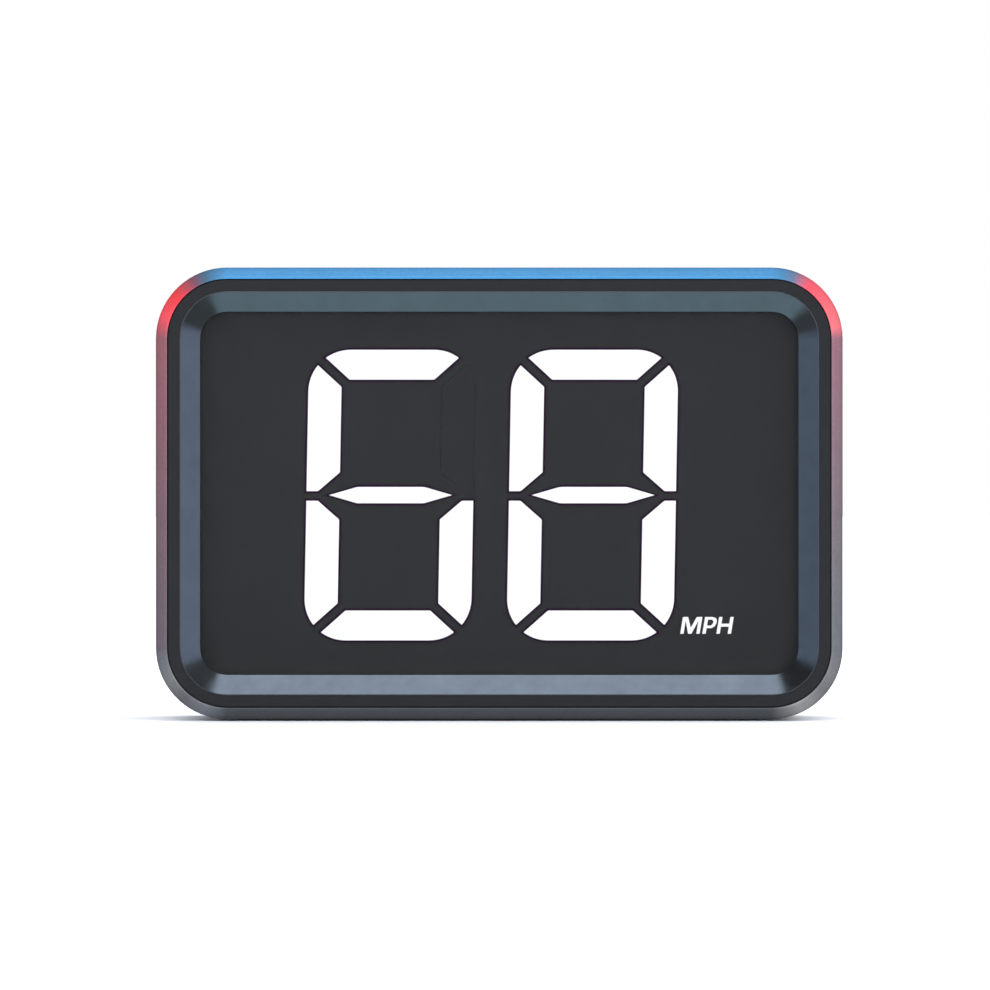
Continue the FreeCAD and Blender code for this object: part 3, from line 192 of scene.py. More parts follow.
class Finish(Tree):
    """A material: a Principled shader and the textures that drive it, in real sizes."""

    def __init__(self, name):
        self.material = bpy.data.materials.new(name)
        self.material.use_nodes = True
        super().__init__(self.material.node_tree)
        self.shader = self.node("ShaderNodeBsdfPrincipled")
        self.output = self.node("ShaderNodeOutputMaterial")
        self.join(self.shader.outputs["BSDF"], self.output.inputs["Surface"])
        self.place = self.node("ShaderNodeTexCoord").outputs["Object"]

    def set(self, **values):
        """Constants, straight on the shader's own sockets."""
        for name, value in values.items():
            socket = self.shader.inputs[name.replace("_", " ")]
            socket.default_value = (*value, 1.0) if isinstance(value, tuple) else value

    def noise(self, grain, detail=3.0, roughness=0.55, stretch=(1, 1, 1)):
        """Noise with features of about that size, in metres."""
        scaled = self.node("ShaderNodeVectorMath", operation="MULTIPLY")
        self.join(self.place, scaled.inputs[0])
        scaled.inputs[1].default_value = stretch
        made = self.node("ShaderNodeTexNoise")
        made.inputs["Scale"].default_value = 1 / grain
        made.inputs["Detail"].default_value = detail
        made.inputs["Roughness"].default_value = roughness
        self.join(scaled.outputs[0], made.inputs["Vector"])
        return made.outputs["Fac"]

    def cells(self, grain):
        made = self.node("ShaderNodeTexVoronoi")
        made.inputs["Scale"].default_value = 1 / grain
        self.join(self.place, made.inputs["Vector"])
        return made.outputs["Distance"]

    def axes(self):
        split = self.node("ShaderNodeSeparateXYZ")
        self.join(self.place, split.inputs[0])
        return split.outputs

    def round_case(self):
        """Where a point lies round the case's rounded outline, from the centres of its corners: how far
        out across, above and below, and in all."""
        across, _, up = self.axes()
        half_x = WIDTH / 2 - CORNER_RADIUS
        half_z = CASE_TALL / 2 - CORNER_RADIUS
        right = self.math("MAXIMUM", self.math("SUBTRACT", across, half_x), 0.0)
        left = self.math("MINIMUM", self.math("ADD", across, half_x), 0.0)
        out_x = self.math("ADD", right, left)
        height = self.math("SUBTRACT", up, CASE_MIDDLE.z)
        above = self.math("MAXIMUM", self.math("SUBTRACT", height, half_z), 0.0)
        below = self.math("MINIMUM", self.math("ADD", height, half_z), 0.0)
        below = self.math("ABSOLUTE", below)
        out_z = self.math("ADD", above, below)
        square_x = self.math("MULTIPLY", out_x, out_x)
        square_z = self.math("MULTIPLY", out_z, out_z)
        reach = self.math("SQRT", self.math("ADD", square_x, square_z))
        return out_x, above, below, reach

    def tinted(self, colour, amount, blotch):
        """The colour, drifting lighter and darker over patches of that size."""
        drift = self.ranged(self.noise(blotch), 0.3, 0.7)
        shade = self.mix(drift, dimmed(colour, 1 - amount), dimmed(colour, 1 + amount))
        self.join(shade, self.shader.inputs["Base Color"])

    def rough(self, low, high, patch):
        result = self.ranged(self.noise(patch), 0.3, 0.7, low, high)
        self.join(result, self.shader.inputs["Roughness"])

    def bump(self, height, depth, strength=1.0):
        """Surface relief of that depth, in metres."""
        made = self.node("ShaderNodeBump")
        made.inputs["Strength"].default_value = strength
        made.inputs["Distance"].default_value = depth
        self.join(height, made.inputs["Height"])
        self.join(made.outputs["Normal"], self.shader.inputs["Normal"])


def plain_finish(name, colour, tint, blotch, roughness, grain, depth, **constants):
    """A finish with colour drift, roughness drift and a fine grain."""
    finish = Finish(name)
    finish.tinted(colour, tint, blotch)
    finish.rough(roughness[0], roughness[1], blotch / 2)
    finish.bump(finish.noise(grain), depth)
    finish.set(**constants)
    return finish


# ---------------------------------------------------------------- light and stage

# Soft light from all round, a little stronger from the right.
SOFT_WHITE = 1.7
SOFT_LEFT = 0.68 * SOFT_WHITE
SOFT_RIGHT = 1.32 * SOFT_WHITE
# Softboxes round the view axis: middle angle from +X towards +Z, half width before and after
# it in degrees, colour, and the colour of the gap that follows.
SOFTBOXES = [
    (0, 11, 17, (1.2, 1.0, 1.16), (0.35, 0.26, 0.24)),
    (90, 12, 8, (2.8, 2.25, 2.35), (0.2, 0.14, 0.13)),
    (180, 18, 3, (0.82, 0.72, 0.84), (0.35, 0.26, 0.25)),
    (-90, 42, 14, (1.04, 1.02, 1.02), (0.36, 0.28, 0.26)),
]
SOFT_EDGE = 9
LAMP_SCALE = 3.0
WRAP_ANGLE = -150
# What reflections see straight ahead of the display, and behind it low down and overhead.
DARK_FRONT = (0.16, 0.16, 0.17)
REAR_LOW = (0.55, 0.56, 0.58)
REAR_HIGH = (1.9, 1.9, 1.95)
FLOOR_REACH = 6.0
FLOOR_GAP = 0.02 * MM


def softbox_stops():
    """Ramp stops for the softboxes and the gaps between them, over one turn from the wrap angle."""
    gap = dimmed(SOFTBOXES[-1][4], 1 / LAMP_SCALE)
    stops = []
    for middle, before, after, colour, following in SOFTBOXES:
        lit = dimmed(colour, 1 / LAMP_SCALE)
        start = (middle - WRAP_ANGLE) % 360
        stops.append(((start - before - SOFT_EDGE) / 360, gap))
        stops.append(((start - before) / 360, lit))
        stops.append(((start + after) / 360, lit))
        gap = dimmed(following, 1 / LAMP_SCALE)
        stops.append(((start + after + SOFT_EDGE) / 360, gap))
    stops.sort(key=lambda stop: stop[0])
    return stops


def make_world():
    """A white studio: even soft light on surfaces, and softboxes that only reflections see."""
    world = bpy.data.worlds.new("studio")
    bpy.context.scene.world = world
    world.use_nodes = True
    tree = Tree(world.node_tree)
    direction = tree.node("ShaderNodeTexCoord").outputs["Generated"]
    split = tree.node("ShaderNodeSeparateXYZ")
    tree.join(direction, split.inputs[0])
    across, depth, up = split.outputs
    angle = tree.math("DEGREES", tree.math("ARCTAN2", up, across))
    turned = tree.math("DIVIDE", tree.math("SUBTRACT", angle, float(WRAP_ANGLE)), 360.0)
    turned = tree.math("FRACT", turned)
    ring = tree.mix(1.0, tree.ramp(turned, softbox_stops()), (LAMP_SCALE,) * 3, "MULTIPLY")
    flat = tree.math("MULTIPLY", across, across)
    flat = tree.math("SQRT", tree.math("ADD", flat, tree.math("MULTIPLY", up, up)))
    front = tree.mix(tree.ranged(flat, 0.45, 0.8, smooth=True), DARK_FRONT, ring)
    overhead = tree.ranged(up, -0.1, 0.8, smooth=True)
    rear = tree.mix(overhead, REAR_LOW, REAR_HIGH)
    studio = tree.mix(tree.ranged(depth, -0.2, 0.25, smooth=True), front, rear)
    soft = tree.mix(tree.ranged(across, -1.0, 1.0), (SOFT_LEFT,) * 3, (SOFT_RIGHT,) * 3)
    path = tree.node("ShaderNodeLightPath")
    seen = tree.mix(path.outputs["Is Glossy Ray"], soft, studio)
    seen = tree.mix(path.outputs["Is Camera Ray"], seen, (1.0, 1.0, 1.0))
    background = tree.node("ShaderNodeBackground")
    tree.join(seen, background.inputs["Color"])
    output = tree.node("ShaderNodeOutputWorld")
    tree.join(background.outputs[0], output.inputs["Surface"])
    world.cycles.sampling_method = "NONE"


def make_floor():
    """A plain white table top, which the object's own reflections don't see."""
    mesh = bpy.data.meshes.new("floor")
    reach = FLOOR_REACH
    corners = [(-reach, -reach, 0), (reach, -reach, 0), (reach, reach, 0), (-reach, reach, 0)]
    mesh.from_pydata(corners, [], [(0, 1, 2, 3)])
    floor = bpy.data.objects.new("floor", mesh)
    floor.location.z = cad_low.z - FLOOR_GAP
    bpy.context.scene.collection.objects.link(floor)
    paper = plain_finish("white_paper", (0.87, 0.89, 0.95), 0.004, 0.05, (0.7, 0.8), 0.002, 0.00002)
    paper.set(Specular_IOR_Level=0.0)
    mesh.materials.append(paper.material)
    floor.visible_glossy = False


make_world()
make_floor()

# ---------------------------------------------------------------- finishes

EXPOSED = 1 / SOFT_WHITE
# Colours of the band, by degrees from its right end: over the top, and underneath. They are painted light
# on its anodised metal: painted reflections of blue light along the top and red light at the upper corners,
# painted highlights, and painted shade that turns it grey.
BAND_PAINTED_LIGHT_OVER = [
    (0, (160, 115, 130)), (10, (255, 125, 135)), (55, (255, 90, 110)), (70, (110, 130, 165)),
    (80, (75, 145, 195)), (90, (80, 160, 220)), (110, (75, 115, 145)), (120, (135, 85, 105)),
    (140, (260, 70, 80)), (160, (265, 90, 105)), (180, (165, 105, 115)),
]
BAND_PAINTED_LIGHT_UNDER = [
    (0, (120, 125, 130)), (20, (135, 135, 140)), (40, (130, 130, 135)), (65, (175, 175, 175)),
    (90, (90, 95, 100)), (110, (140, 145, 155)), (130, (120, 120, 125)), (150, (140, 145, 145)),
    (170, (125, 130, 140)), (180, (120, 110, 120)),
]
# How quickly the sides turn from the upper colours to the lower ones: the painted falloff of the coloured
# light down the sides.
PAINTED_FALLOFF_POWER = 1.4
# Painted light over the front bevel and as far again behind it: a painted highlight at the front
# edge, with a painted shade line where the bevel ends.
BEVEL_PAINTED_LIGHT = [
    (0.0, 1.2), (0.05, 1.06), (0.1, 1.0), (0.3, 0.97), (0.42, 0.86), (0.49, 0.66), (0.56, 0.82),
    (1.0, 0.9),
]


def band_finish():
    """Bead-blasted anodised metal with painted light: painted reflections of blue light along the top and
    red light at the upper corners, fading through painted shade to grey.
    """
    finish = Finish("band_anodised_painted_light")
    _, depth, up = finish.axes()
    out_x, above, below, _ = finish.round_case()
    half_z = CASE_TALL / 2 - CORNER_RADIUS
    height = finish.math("SUBTRACT", up, CASE_MIDDLE.z)
    upper_angle = finish.math("DIVIDE", finish.math("ARCTAN2", above, out_x), math.pi)
    lower_angle = finish.math("DIVIDE", finish.math("ARCTAN2", below, out_x), math.pi)

    def gradient(turn, colours):
        stops = []
        for degrees, colour in colours:
            stops.append((degrees / 180, dimmed(linear(*colour), EXPOSED)))
        return finish.ramp(turn, stops)

    # Painted light: reflection colours, highlights and shade, by angle round the band over the top and
    # underneath.
    painted_light_over = gradient(upper_angle, BAND_PAINTED_LIGHT_OVER)
    painted_light_under = gradient(lower_angle, BAND_PAINTED_LIGHT_UNDER)
    painted_falloff = finish.math("POWER", finish.ranged(height, -half_z, half_z), PAINTED_FALLOFF_POWER)
    colour = finish.mix(painted_falloff, painted_light_under, painted_light_over)
    drift = finish.ranged(finish.noise(2.5 * MM), 0.3, 0.7, 0.96, 1.04)
    speck = finish.ranged(finish.noise(0.18 * MM, detail=1.0), 0.25, 0.75, 0.88, 1.12)
    # Painted highlight at the bevel's front edge, and painted shade where it ends.
    backwards = finish.ranged(depth, band_low.y, band_low.y + 2 * FRONT_BEVEL)
    painted_rim_light = finish.ramp(backwards, [(share, (light,) * 3) for share, light in BEVEL_PAINTED_LIGHT])
    grey = finish.grey(finish.math("MULTIPLY", drift, speck))
    colour = finish.mix(1.0, colour, painted_rim_light, "MULTIPLY")
    finish.join(finish.mix(1.0, colour, grey, "MULTIPLY"), finish.shader.inputs["Base Color"])
    finish.rough(0.34, 0.46, 1.5 * MM)
    finish.bump(finish.noise(0.12 * MM, detail=2.0), 0.006 * MM)
    finish.set(Metallic=0.0, Specular_IOR_Level=0.12)
    return finish


def bezel_finish():
    return plain_finish("bezel_satin", linear(35, 38, 42), 0.05, 3 * MM, (0.42, 0.52), 0.16 * MM,
                        0.006 * MM, Specular_IOR_Level=0.35)


# How far the outer edge of the ring, where a highlight line is painted, lies inside the case's outline.
TRIM_EDGE = 2.93 * MM


def trim_finish():
    """Gunmetal with a fine blasted grain, slow changes of tone and a painted highlight line at its outer
    edge.
    """
    finish = Finish("trim_gunmetal")
    reach = finish.round_case()[3]
    # Painted highlight: a thin strip along the outer edge turns matt light grey, standing in for the light
    # its edge catches.
    edge = finish.ranged(reach, CORNER_RADIUS - TRIM_EDGE, CORNER_RADIUS - TRIM_EDGE + 0.05 * MM)
    drift = finish.ranged(finish.noise(4 * MM), 0.3, 0.7)
    gunmetal = finish.mix(drift, (0.079, 0.119, 0.144), (0.089, 0.135, 0.162))
    finish.join(finish.mix(edge, gunmetal, (0.058, 0.068, 0.076)), finish.shader.inputs["Base Color"])
    finish.join(finish.ranged(edge, 0, 1, 1.0, 0.0), finish.shader.inputs["Metallic"])
    finish.rough(0.16, 0.26, 1.2 * MM)
    finish.bump(finish.noise(0.17 * MM, detail=2.0), 0.0055 * MM)
    return finish


def lens_finish():
    """Clear acrylic: light passes straight through, and the polished face gives a faint reflection."""
    finish = Finish("lens_clear")
    finish.set(Base_Color=(0.01, 0.01, 0.011), Specular_IOR_Level=0.5)
    finish.rough(0.02, 0.05, 6 * MM)
    clear = finish.node("ShaderNodeBsdfTransparent")
    clear.inputs["Color"].default_value = (0.97, 0.975, 0.98, 1)
    blend = finish.node("ShaderNodeMixShader")
    blend.inputs["Fac"].default_value = 0.12
    finish.join(clear.outputs[0], blend.inputs[1])
    finish.join(finish.shader.outputs[0], blend.inputs[2])
    finish.join(blend.outputs[0], finish.output.inputs["Surface"])
    return finish


def lit_finish():
    """Milky diffuser lit from behind by white LEDs, a touch brighter near each of them."""
    finish = Finish("diffuser_lit")
    finish.tinted((0.22, 0.22, 0.225), 0.05, 1.5 * MM)
    finish.rough(0.35, 0.5, 1 * MM)
    glow = finish.mix(finish.ranged(finish.noise(3 * MM), 0.3, 0.7), (0.97, 0.97, 0.97), (1.0, 1.0, 1.0))
    finish.join(glow, finish.shader.inputs["Emission Color"])
    finish.set(Emission_Strength=1.2)
    return finish


INK = linear(54, 55, 56)


def mask_finish():
    """Charcoal ink, painted a little paler towards the edges of the window against the shade that falls
    there.
    """
    finish = Finish("mask_ink")
    across, _, up = finish.axes()
    low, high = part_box("segment_mask")
    # Painted light: the ink turns paler towards the window's sides and ends, lifting the shade of the
    # recess.
    side = finish.math("ABSOLUTE", across)
    side = finish.ranged(side, high.x - 1.6 * MM, high.x - 0.2 * MM, 1.0, 1.14, smooth=True)
    end = finish.math("ABSOLUTE", finish.math("SUBTRACT", up, CASE_MIDDLE.z))
    half_tall = (high.z - low.z) / 2
    end = finish.ranged(end, half_tall - 2.2 * MM, half_tall - 0.2 * MM, 1.0, 1.32, smooth=True)
    mottle = finish.ranged(finish.noise(5 * MM), 0.3, 0.7, 0.975, 1.025)
    grey = finish.grey(finish.math("MULTIPLY", finish.math("MULTIPLY", side, end), mottle))
    finish.join(finish.mix(1.0, INK, grey, "MULTIPLY"), finish.shader.inputs["Base Color"])
    finish.rough(0.55, 0.7, 2.5 * MM)
    finish.bump(finish.noise(0.1 * MM), 0.002 * MM)
    finish.set(Specular_IOR_Level=0.2)
    return finish


def unlit_finish():
    """A smoked diffuser, which all but vanishes in the ink when it is off."""
    return plain_finish("diffuser_smoked", INK, 0.03, 2 * MM, (0.5, 0.65), 0.1 * MM,
                        0.002 * MM, Specular_IOR_Level=0.2)


def moulded_finish():
    """Spark-eroded texture on black plastic."""
    finish = Finish("cover_moulded")
    pits = finish.cells(0.42 * MM)
    shade = finish.mix(finish.ranged(pits, 0.1, 0.7), (0.009, 0.0093, 0.01), (0.0165, 0.017, 0.0185))
    drift = finish.ranged(finish.noise(6 * MM), 0.3, 0.7)
    shade = finish.mix(drift, shade, (0.0115, 0.012, 0.013))
    finish.join(shade, finish.shader.inputs["Base Color"])
    finish.rough(0.42, 0.62, 1.0 * MM)
    height = finish.math("ADD", pits, finish.noise(0.2 * MM, detail=4.0))
    finish.bump(height, 0.06 * MM)
    return finish


def rubber_finish(name, colour, roughness, grain, depth):
    finish = plain_finish(name, colour, 0.1, 1.8 * MM, roughness, grain, depth, Specular_IOR_Level=0.35)
    finish.set(Sheen_Weight=0.08, Sheen_Roughness=0.4)
    return finish


PAD_RIB = 1.2 * MM


def pad_finish():
    """Soft rubber moulded in fine ribs that run from front to back."""
    finish = rubber_finish("pad_rubber", (0.02, 0.02, 0.022), (0.7, 0.85), 0.25 * MM, 0.03 * MM)
    across = finish.axes()[0]
    rib = finish.math("SINE", finish.math("MULTIPLY", across, 2 * math.pi / PAD_RIB))
    grain = finish.math("MULTIPLY", finish.noise(0.2 * MM), 0.3)
    finish.bump(finish.math("ADD", rib, grain), 0.08 * MM)
    return finish


# The solar panel: spacing of its printed fingers, height of its bus lines above and below the
# middle, and spacing of its strips.
FINGER_PITCH = 1.3 * MM
BUS_RISE = 9 * MM
STRIP_PITCH = 5.85 * MM


def solar_cell_finish():
    """Blue-black silicon with fine printed silver fingers and two bus lines on every strip."""
    finish = Finish("solar_silicon")
    across, _, up = finish.axes()
    finger = finish.math("FRACT", finish.math("DIVIDE", up, FINGER_PITCH))
    finger = finish.math("LESS_THAN", finish.math("ABSOLUTE", finish.math("SUBTRACT", finger, 0.5)), 0.045)
    panel_low, panel_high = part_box("solar_board")
    middle = (panel_low.z + panel_high.z) / 2
    rise = finish.math("ABSOLUTE", finish.math("SUBTRACT", up, middle))
    bus = finish.math("ABSOLUTE", finish.math("SUBTRACT", rise, BUS_RISE))
    bus = finish.math("LESS_THAN", bus, 0.3 * MM)
    silver = finish.math("MAXIMUM", finger, bus)
    strip = finish.math("FLOOR", finish.math("DIVIDE", across, STRIP_PITCH))
    tone = finish.node("ShaderNodeTexWhiteNoise", noise_dimensions="1D")
    finish.join(strip, tone.inputs["W"])
    mottled = finish.ranged(finish.noise(2.2 * MM), 0.35, 0.65)
    silicon = finish.mix(mottled, (0.006, 0.010, 0.035), (0.011, 0.019, 0.062))
    shift = finish.ranged(tone.outputs["Value"], 0, 1, 0.0, 0.35)
    silicon = finish.mix(shift, silicon, (0.016, 0.018, 0.05))
    finish.join(finish.mix(silver, silicon, (0.45, 0.46, 0.48)), finish.shader.inputs["Base Color"])
    finish.join(finish.ranged(silver, 0, 1, 0.28, 0.42), finish.shader.inputs["Roughness"])
    finish.bump(finish.math("ADD", silver, finish.noise(0.4 * MM)), 0.01 * MM, 0.5)
    finish.set(Metallic=0.35)
    return finish


def glaze_finish():
    """Clear epoxy dome over the cells."""
    finish = lens_finish()
    finish.material.name = "glaze_epoxy"
    finish.bump(finish.noise(4 * MM, detail=1.0), 0.02 * MM, 0.35)
    return finish


def board_finish():
    """Green solder mask over copper tracks."""
    finish = Finish("board_green")
    tracks = finish.node("ShaderNodeTexBrick")
    tracks.inputs["Scale"].default_value = 1 / (2.2 * MM)
    tracks.inputs["Mortar Size"].default_value = 0.06
    upright = finish.node("ShaderNodeVectorRotate", rotation_type="X_AXIS")
    upright.inputs["Angle"].default_value = math.pi / 2
    finish.join(finish.place, upright.inputs["Vector"])
    finish.join(upright.outputs[0], tracks.inputs["Vector"])
    colour = finish.mix(tracks.outputs["Fac"], (0.004, 0.05, 0.02), (0.012, 0.1, 0.045))
    finish.join(colour, finish.shader.inputs["Base Color"])
    finish.rough(0.25, 0.4, 2 * MM)
    finish.bump(tracks.outputs["Fac"], 0.03 * MM)
    return finish


def brushed_finish(name, colour, roughness):
    finish = Finish(name)
    finish.tinted(colour, 0.1, 1.5 * MM)
    finish.rough(roughness, roughness + 0.14, 0.6 * MM)
    finish.bump(finish.noise(0.08 * MM, stretch=(0.08, 1, 1)), 0.004 * MM)
    finish.set(Metallic=1.0)
    return finish


def make_finishes():
    """The finish of each of the record's material slots."""
    return {
        "band": band_finish(),
        "bezel": bezel_finish(),
        "trim": trim_finish(),
        "lens": lens_finish(),
        "mask": mask_finish(),
        "lit": lit_finish(),
        "unlit": unlit_finish(),
        "reflector": plain_finish("reflector_white", (0.8, 0.8, 0.79), 0.03, 2 * MM, (0.2, 0.3),
                                  0.3 * MM, 0.004 * MM),
        "circuit_board": board_finish(),
        "chip": plain_finish("chip_epoxy", (0.012, 0.012, 0.014), 0.15, 1 * MM, (0.4, 0.6),
                             0.1 * MM, 0.008 * MM),
        "shield": brushed_finish("shield_tinned", (0.62, 0.62, 0.63), 0.25),
        "steel": brushed_finish("steel_zinc", (0.56, 0.57, 0.6), 0.25),
        "black_screw": brushed_finish("screw_black", (0.07, 0.07, 0.075), 0.3),
        "brass": brushed_finish("brass_turned", (0.75, 0.52, 0.2), 0.25),
        "ceramic": plain_finish("ceramic_fired", (0.62, 0.56, 0.42), 0.06, 1 * MM, (0.5, 0.7),
                                0.1 * MM, 0.008 * MM),
        "led": plain_finish("led_gel", (0.85, 0.8, 0.4), 0.05, 0.5 * MM, (0.2, 0.35),
                            0.1 * MM, 0.004 * MM),
        "cover": moulded_finish(),
        "button": rubber_finish("button_rubber", (0.02, 0.0205, 0.022), (0.42, 0.55),
                                0.12 * MM, 0.008 * MM),
        "plunger": plain_finish("plunger_nylon", (0.62, 0.6, 0.55), 0.04, 1 * MM, (0.4, 0.55),
                                0.1 * MM, 0.004 * MM),
        "flap": rubber_finish("flap_silicone", (0.016, 0.0165, 0.018), (0.5, 0.66),
                              0.1 * MM, 0.006 * MM),
        "pad": pad_finish(),
        "seal": rubber_finish("seal_foam", (0.03, 0.03, 0.033), (0.75, 0.9), 0.2 * MM, 0.03 * MM),
        "tape": plain_finish("tape_black", (0.024, 0.005, 0.029), 0.1, 1 * MM, (0.6, 0.75),
                             0.15 * MM, 0.01 * MM, Specular_IOR_Level=0.1),
        "battery": brushed_finish("battery_foil", (0.55, 0.57, 0.6), 0.32),
        "wire": rubber_finish("wire_silicone", (0.35, 0.02, 0.02), (0.35, 0.5), 0.1 * MM, 0.004 * MM),
        "solar_cell": solar_cell_finish(),
        "solar_backing": plain_finish("solar_backing", (0.012, 0.012, 0.014), 0.1, 2 * MM, (0.4, 0.55),
                                      0.2 * MM, 0.006 * MM),
        "ribbon": brushed_finish("ribbon_tinned", (0.66, 0.66, 0.67), 0.22),
        "glaze": glaze_finish(),
    }


finishes = make_finishes()
for entry in frame["record"]["subparts"]:
    mesh = frame["nodes"][entry["node"]].data
    mesh.materials.clear()
    mesh.materials.append(finishes[entry["material_slot"]].material)

# ---------------------------------------------------------------- small pieces added to the frame


def add_piece(name, mesh, body, slot):
    """A new piece that rides on a body and takes its finish from a slot."""
    piece = bpy.data.objects.new(name, mesh)
    bpy.context.scene.collection.objects.link(piece)
    mesh.materials.append(finishes[slot].material)
    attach(piece, body)
    return piece


def mesh_from(shape, name):
    """Turn a finished shape into a mesh, and let the shape go."""
    mesh = bpy.data.meshes.new(name)
    shape.to_mesh(mesh)
    shape.free()
    return mesh


def raised(outlines, front, back, soft):
    """Mesh of flat outlines, given across and up, standing from front to back with softened edges."""
    shape = bmesh.new()
    for outline in outlines:
        points = [shape.verts.new((across, back, up)) for across, up in outline]
        face = shape.faces.new(points)
        wall = bmesh.ops.extrude_face_region(shape, geom=[face])
        moved = [item for item in wall["geom"] if isinstance(item, bmesh.types.BMVert)]
        bmesh.ops.translate(shape, verts=moved, vec=(0, front - back, 0))
    bmesh.ops.recalc_face_normals(shape, faces=shape.faces)
    rims = []
    for edge in shape.edges:
        if all(abs(vertex.co.y - back) < 1e-7 for vertex in edge.verts):
            rims.append(edge)
    bmesh.ops.bevel(shape, geom=rims, offset=soft, segments=2, affect="EDGES", profile=0.6)
    return mesh_from(shape, "raised")


def arc_outline(centre, radius, stroke, start, end, steps):
    """Outline of a stroke that follows an arc between two angles in degrees."""
    outline = []
    for reach, first, last in ((radius + stroke / 2, start, end), (radius - stroke / 2, end, start)):
        for step in range(steps + 1):
            angle = math.radians(first + (last - first) * step / steps)
            across = centre.x + reach * math.cos(angle)
            outline.append((across, centre.z + reach * math.sin(angle)))
    return outline


def bar_outline(centre, angle, inner, outer, stroke):
    """Outline of a straight stroke that points away from a centre."""
    ahead = Vector((math.cos(math.radians(angle)), math.sin(math.radians(angle))))
    aside = Vector((-ahead.y, ahead.x)) * stroke / 2
    middle = Vector((centre.x, centre.z))
    corners = (
        middle + ahead * inner - aside, middle + ahead * outer - aside,
        middle + ahead * outer + aside, middle + ahead * inner + aside,
    )
    return [tuple(corner) for corner in corners]


ICON_HEIGHT = 0.06 * MM
ICON_SOFT = 0.03 * MM
ICON_STROKE = 0.34 * MM
POWER_RING = 1.25 * MM
MODE_RING = 0.62 * MM
RAY_START = 1.2 * MM
ICON_REACH = 1.75 * MM


def add_icon(name, node, body, outlines_about):
    """A raised white mark on a button's face."""
    low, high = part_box(node)
    outlines = outlines_about((low + high) / 2)
    mesh = raised(outlines, high.y - ICON_HEIGHT / 2, high.y + ICON_HEIGHT, ICON_SOFT)
    add_piece(name, mesh, body, "plunger")


def power_outlines(centre):
    """A ring with an upright bar through a gap at its top."""
    ring = arc_outline(centre, POWER_RING, ICON_STROKE, 125, 415, 40)
    return [ring, bar_outline(centre, 90, 0.35 * MM, ICON_REACH, ICON_STROKE)]


def mode_outlines(centre):
    """A ring split in two, with eight short rays round it."""
    outlines = [arc_outline(centre, MODE_RING, ICON_STROKE, turn, turn + 178, 20) for turn in (0, 180)]
    for ray in range(8):
        outlines.append(bar_outline(centre, 45 * ray, RAY_START, ICON_REACH, ICON_STROKE * 0.8))
    return outlines


# The flap's straps: half the length, how far from the middle of the flap, half width and thickness,
# and how far they stand out from the flap's outer face.
WEB_REACH = 0.5 * MM
WEB_MIDDLES = (-2.0 * MM, 2.0 * MM)
WEB_HALF = 1.1 * MM
WEB_THICK = 0.22 * MM
WEB_PROUD = 0.015 * MM
WEB_STEPS = 12


def add_flap_web():
    """Two thin silicone straps that bridge the gap between the flap's anchor and the flap."""
    anchor_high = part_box("flap_anchor")[1]
    flap_low, flap_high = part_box("port_flap")
    fold = (anchor_high.x + flap_low.x) / 2
    level = (flap_low.z + flap_high.z) / 2
    outer = flap_high.y + WEB_PROUD
    inner = outer - WEB_THICK
    shape = bmesh.new()
    for middle in WEB_MIDDLES:
        low = level + middle - WEB_HALF
        high = level + middle + WEB_HALF
        rows = []
        for step in range(WEB_STEPS + 1):
            across = fold - WEB_REACH + 2 * WEB_REACH * step / WEB_STEPS
            corners = []
            for depth, up in ((inner, low), (outer, low), (outer, high), (inner, high)):
                corners.append(shape.verts.new((across, depth, up)))
            rows.append(corners)
        for near, far in zip(rows, rows[1:]):
            for side in range(4):
                following = (side + 1) % 4
                shape.faces.new((near[side], near[following], far[following], far[side]))
        shape.faces.new(rows[0][::-1])
        shape.faces.new(rows[-1])
    bmesh.ops.recalc_face_normals(shape, faces=shape.faces)
    mesh = mesh_from(shape, "flap_web")
    web = bpy.data.objects.new("flap_web", mesh)
    bpy.context.scene.collection.objects.link(web)
    mesh.materials.append(finishes["flap"].material)
    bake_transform(web)


def boxes(places, size, soft):
    """Mesh of equal blocks with softened edges, each centred at a place."""
    shape = bmesh.new()
    for place in places:
        stretch = Matrix.Translation(place) @ Matrix.Diagonal((*size, 1))
        bmesh.ops.create_cube(shape, size=1.0, matrix=stretch)
    bmesh.ops.bevel(shape, geom=shape.edges[:], offset=soft, segments=2, affect="EDGES")
    return mesh_from(shape, "boxes")


# A dark outline's corners reach out by at most its width over this.
SHARPEST_CORNER = 0.45


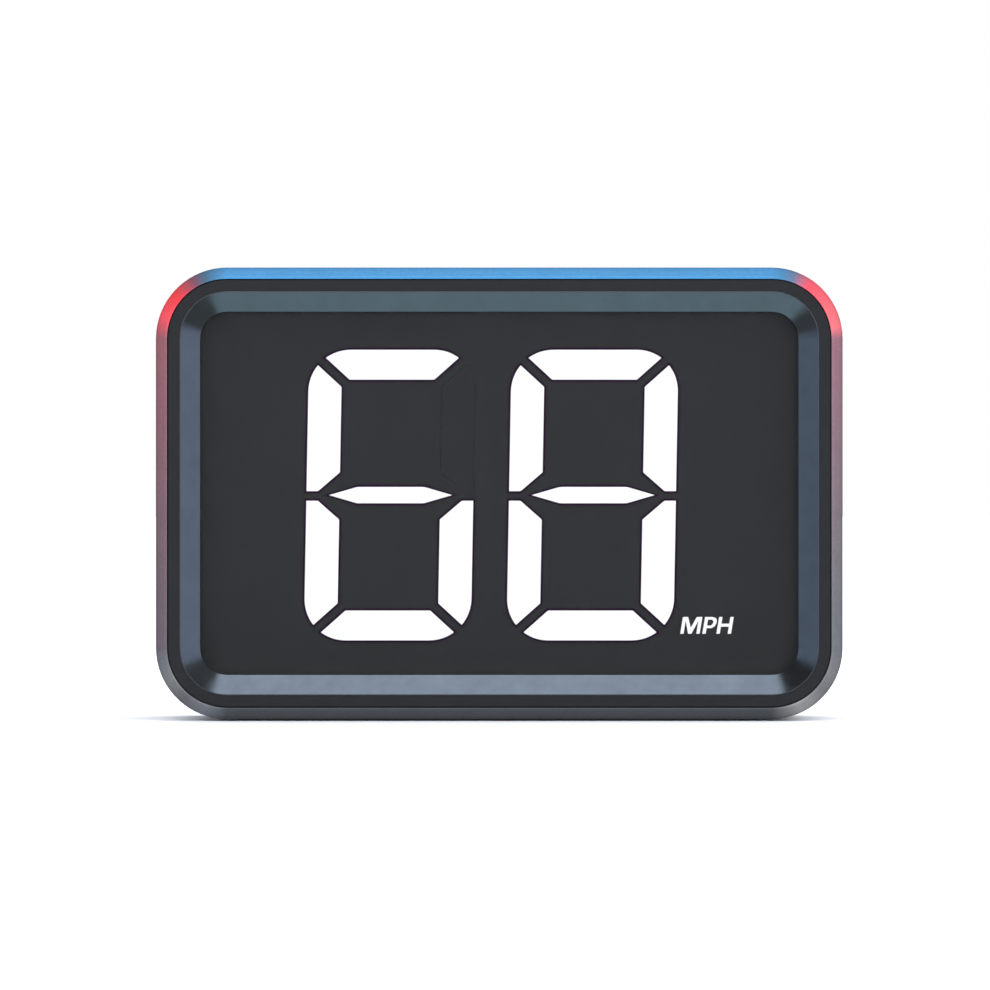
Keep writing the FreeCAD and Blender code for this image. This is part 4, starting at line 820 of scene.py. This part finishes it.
def dark_outline_round(shape, source, depth, width):
    """Add flat strips just outside the edges of a node's front face."""
    mesh = source.data
    front = min((source.matrix_world @ vertex.co).y for vertex in mesh.vertices)
    runs = {}
    for polygon in mesh.polygons:
        corners = [source.matrix_world @ mesh.vertices[index].co for index in polygon.vertices]
        if all(abs(corner.y - front) < 0.001 * MM for corner in corners):
            flat = [(round(corner.x, 7), round(corner.z, 7)) for corner in corners]
            runs.update(dict.fromkeys(zip(flat, flat[1:] + flat[:1])))
    # A run that no neighbouring face shares, the other way round, is part of the outline.
    outer = {here: there for here, there in runs if (there, here) not in runs}
    while outer:
        start = next(iter(outer))
        loop = [start]
        while outer[loop[-1]] != start:
            loop.append(outer.pop(loop[-1]))
        outer.pop(loop[-1])
        inner_ring = []
        outer_ring = []
        for number, here in enumerate(loop):
            point = Vector(here)
            before = (point - Vector(loop[number - 1])).normalized()
            after = (Vector(loop[(number + 1) % len(loop)]) - point).normalized()
            outward = Vector((before.y, -before.x)) + Vector((after.y, -after.x))
            outward = outward.normalized() * width / max(outward.length / 2, SHARPEST_CORNER)
            inner_ring.append(shape.verts.new((point.x, depth, point.y)))
            outer_ring.append(shape.verts.new((point.x + outward.x, depth, point.y + outward.y)))
        for number in range(len(loop)):
            corners = (
                inner_ring[number - 1], outer_ring[number - 1], outer_ring[number], inner_ring[number],
            )
            shape.faces.new(corners)


DARK_OUTLINE_WIDTH = 0.26 * MM
DARK_OUTLINE_PROUD = 0.01 * MM


def add_dark_outlines():
    """Dark strips on the ink, just outside the edges of each lit diffuser of the digits."""
    mask_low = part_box("segment_mask")[0]
    shape = bmesh.new()
    for entry in frame["record"]["subparts"]:
        if entry["material_slot"] == "lit" and "segment" in entry["node"]:
            dark_outline_round(shape, frame["nodes"][entry["node"]], mask_low.y - DARK_OUTLINE_PROUD, DARK_OUTLINE_WIDTH)
    add_piece("segment_dark_outlines", mesh_from(shape, "segment_dark_outlines"), "case", "tape")


# The charging port's tongue: its width and half height, and its distance from the port's back end
# and mouth; its fingers, their spacing and size, and how far their middles lie inside the mouth end.
TONGUE_WIDE = 6.8 * MM
TONGUE_HALF = 0.38 * MM
TONGUE_START = 0.52 * MM
TONGUE_SHORT = 0.65 * MM
FINGER_COUNT = 12
FINGER_STEP = 0.5 * MM
FINGER_SIZE = (0.25 * MM, 2.6 * MM, 0.05 * MM)
FINGER_INSET = 1.5 * MM


def add_port_tongue():
    """The charging port's black tongue moulding, with gold fingers on both faces."""
    low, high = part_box("usb_receptacle")
    centre = (low + high) / 2
    front = low.y + TONGUE_START
    back = high.y - TONGUE_SHORT
    middle = (front + back) / 2
    size = (TONGUE_WIDE, back - front, 2 * TONGUE_HALF)
    moulding = boxes([(centre.x, middle, centre.z)], size, 0.1 * MM)
    add_piece("port_tongue", moulding, "case", "chip")
    places = []
    for side in (-1, 1):
        for finger in range(FINGER_COUNT):
            across = centre.x + (finger - (FINGER_COUNT - 1) / 2) * FINGER_STEP
            places.append((across, back - FINGER_INSET, centre.z + side * TONGUE_HALF))
    fingers = boxes(places, FINGER_SIZE, 0.015 * MM)
    add_piece("port_contacts", fingers, "case", "brass")


add_icon("power_icon", "power_button", "power_key", power_outlines)
add_icon("mode_icon", "mode_button", "mode_key", mode_outlines)
add_flap_web()
add_port_tongue()
add_dark_outlines()
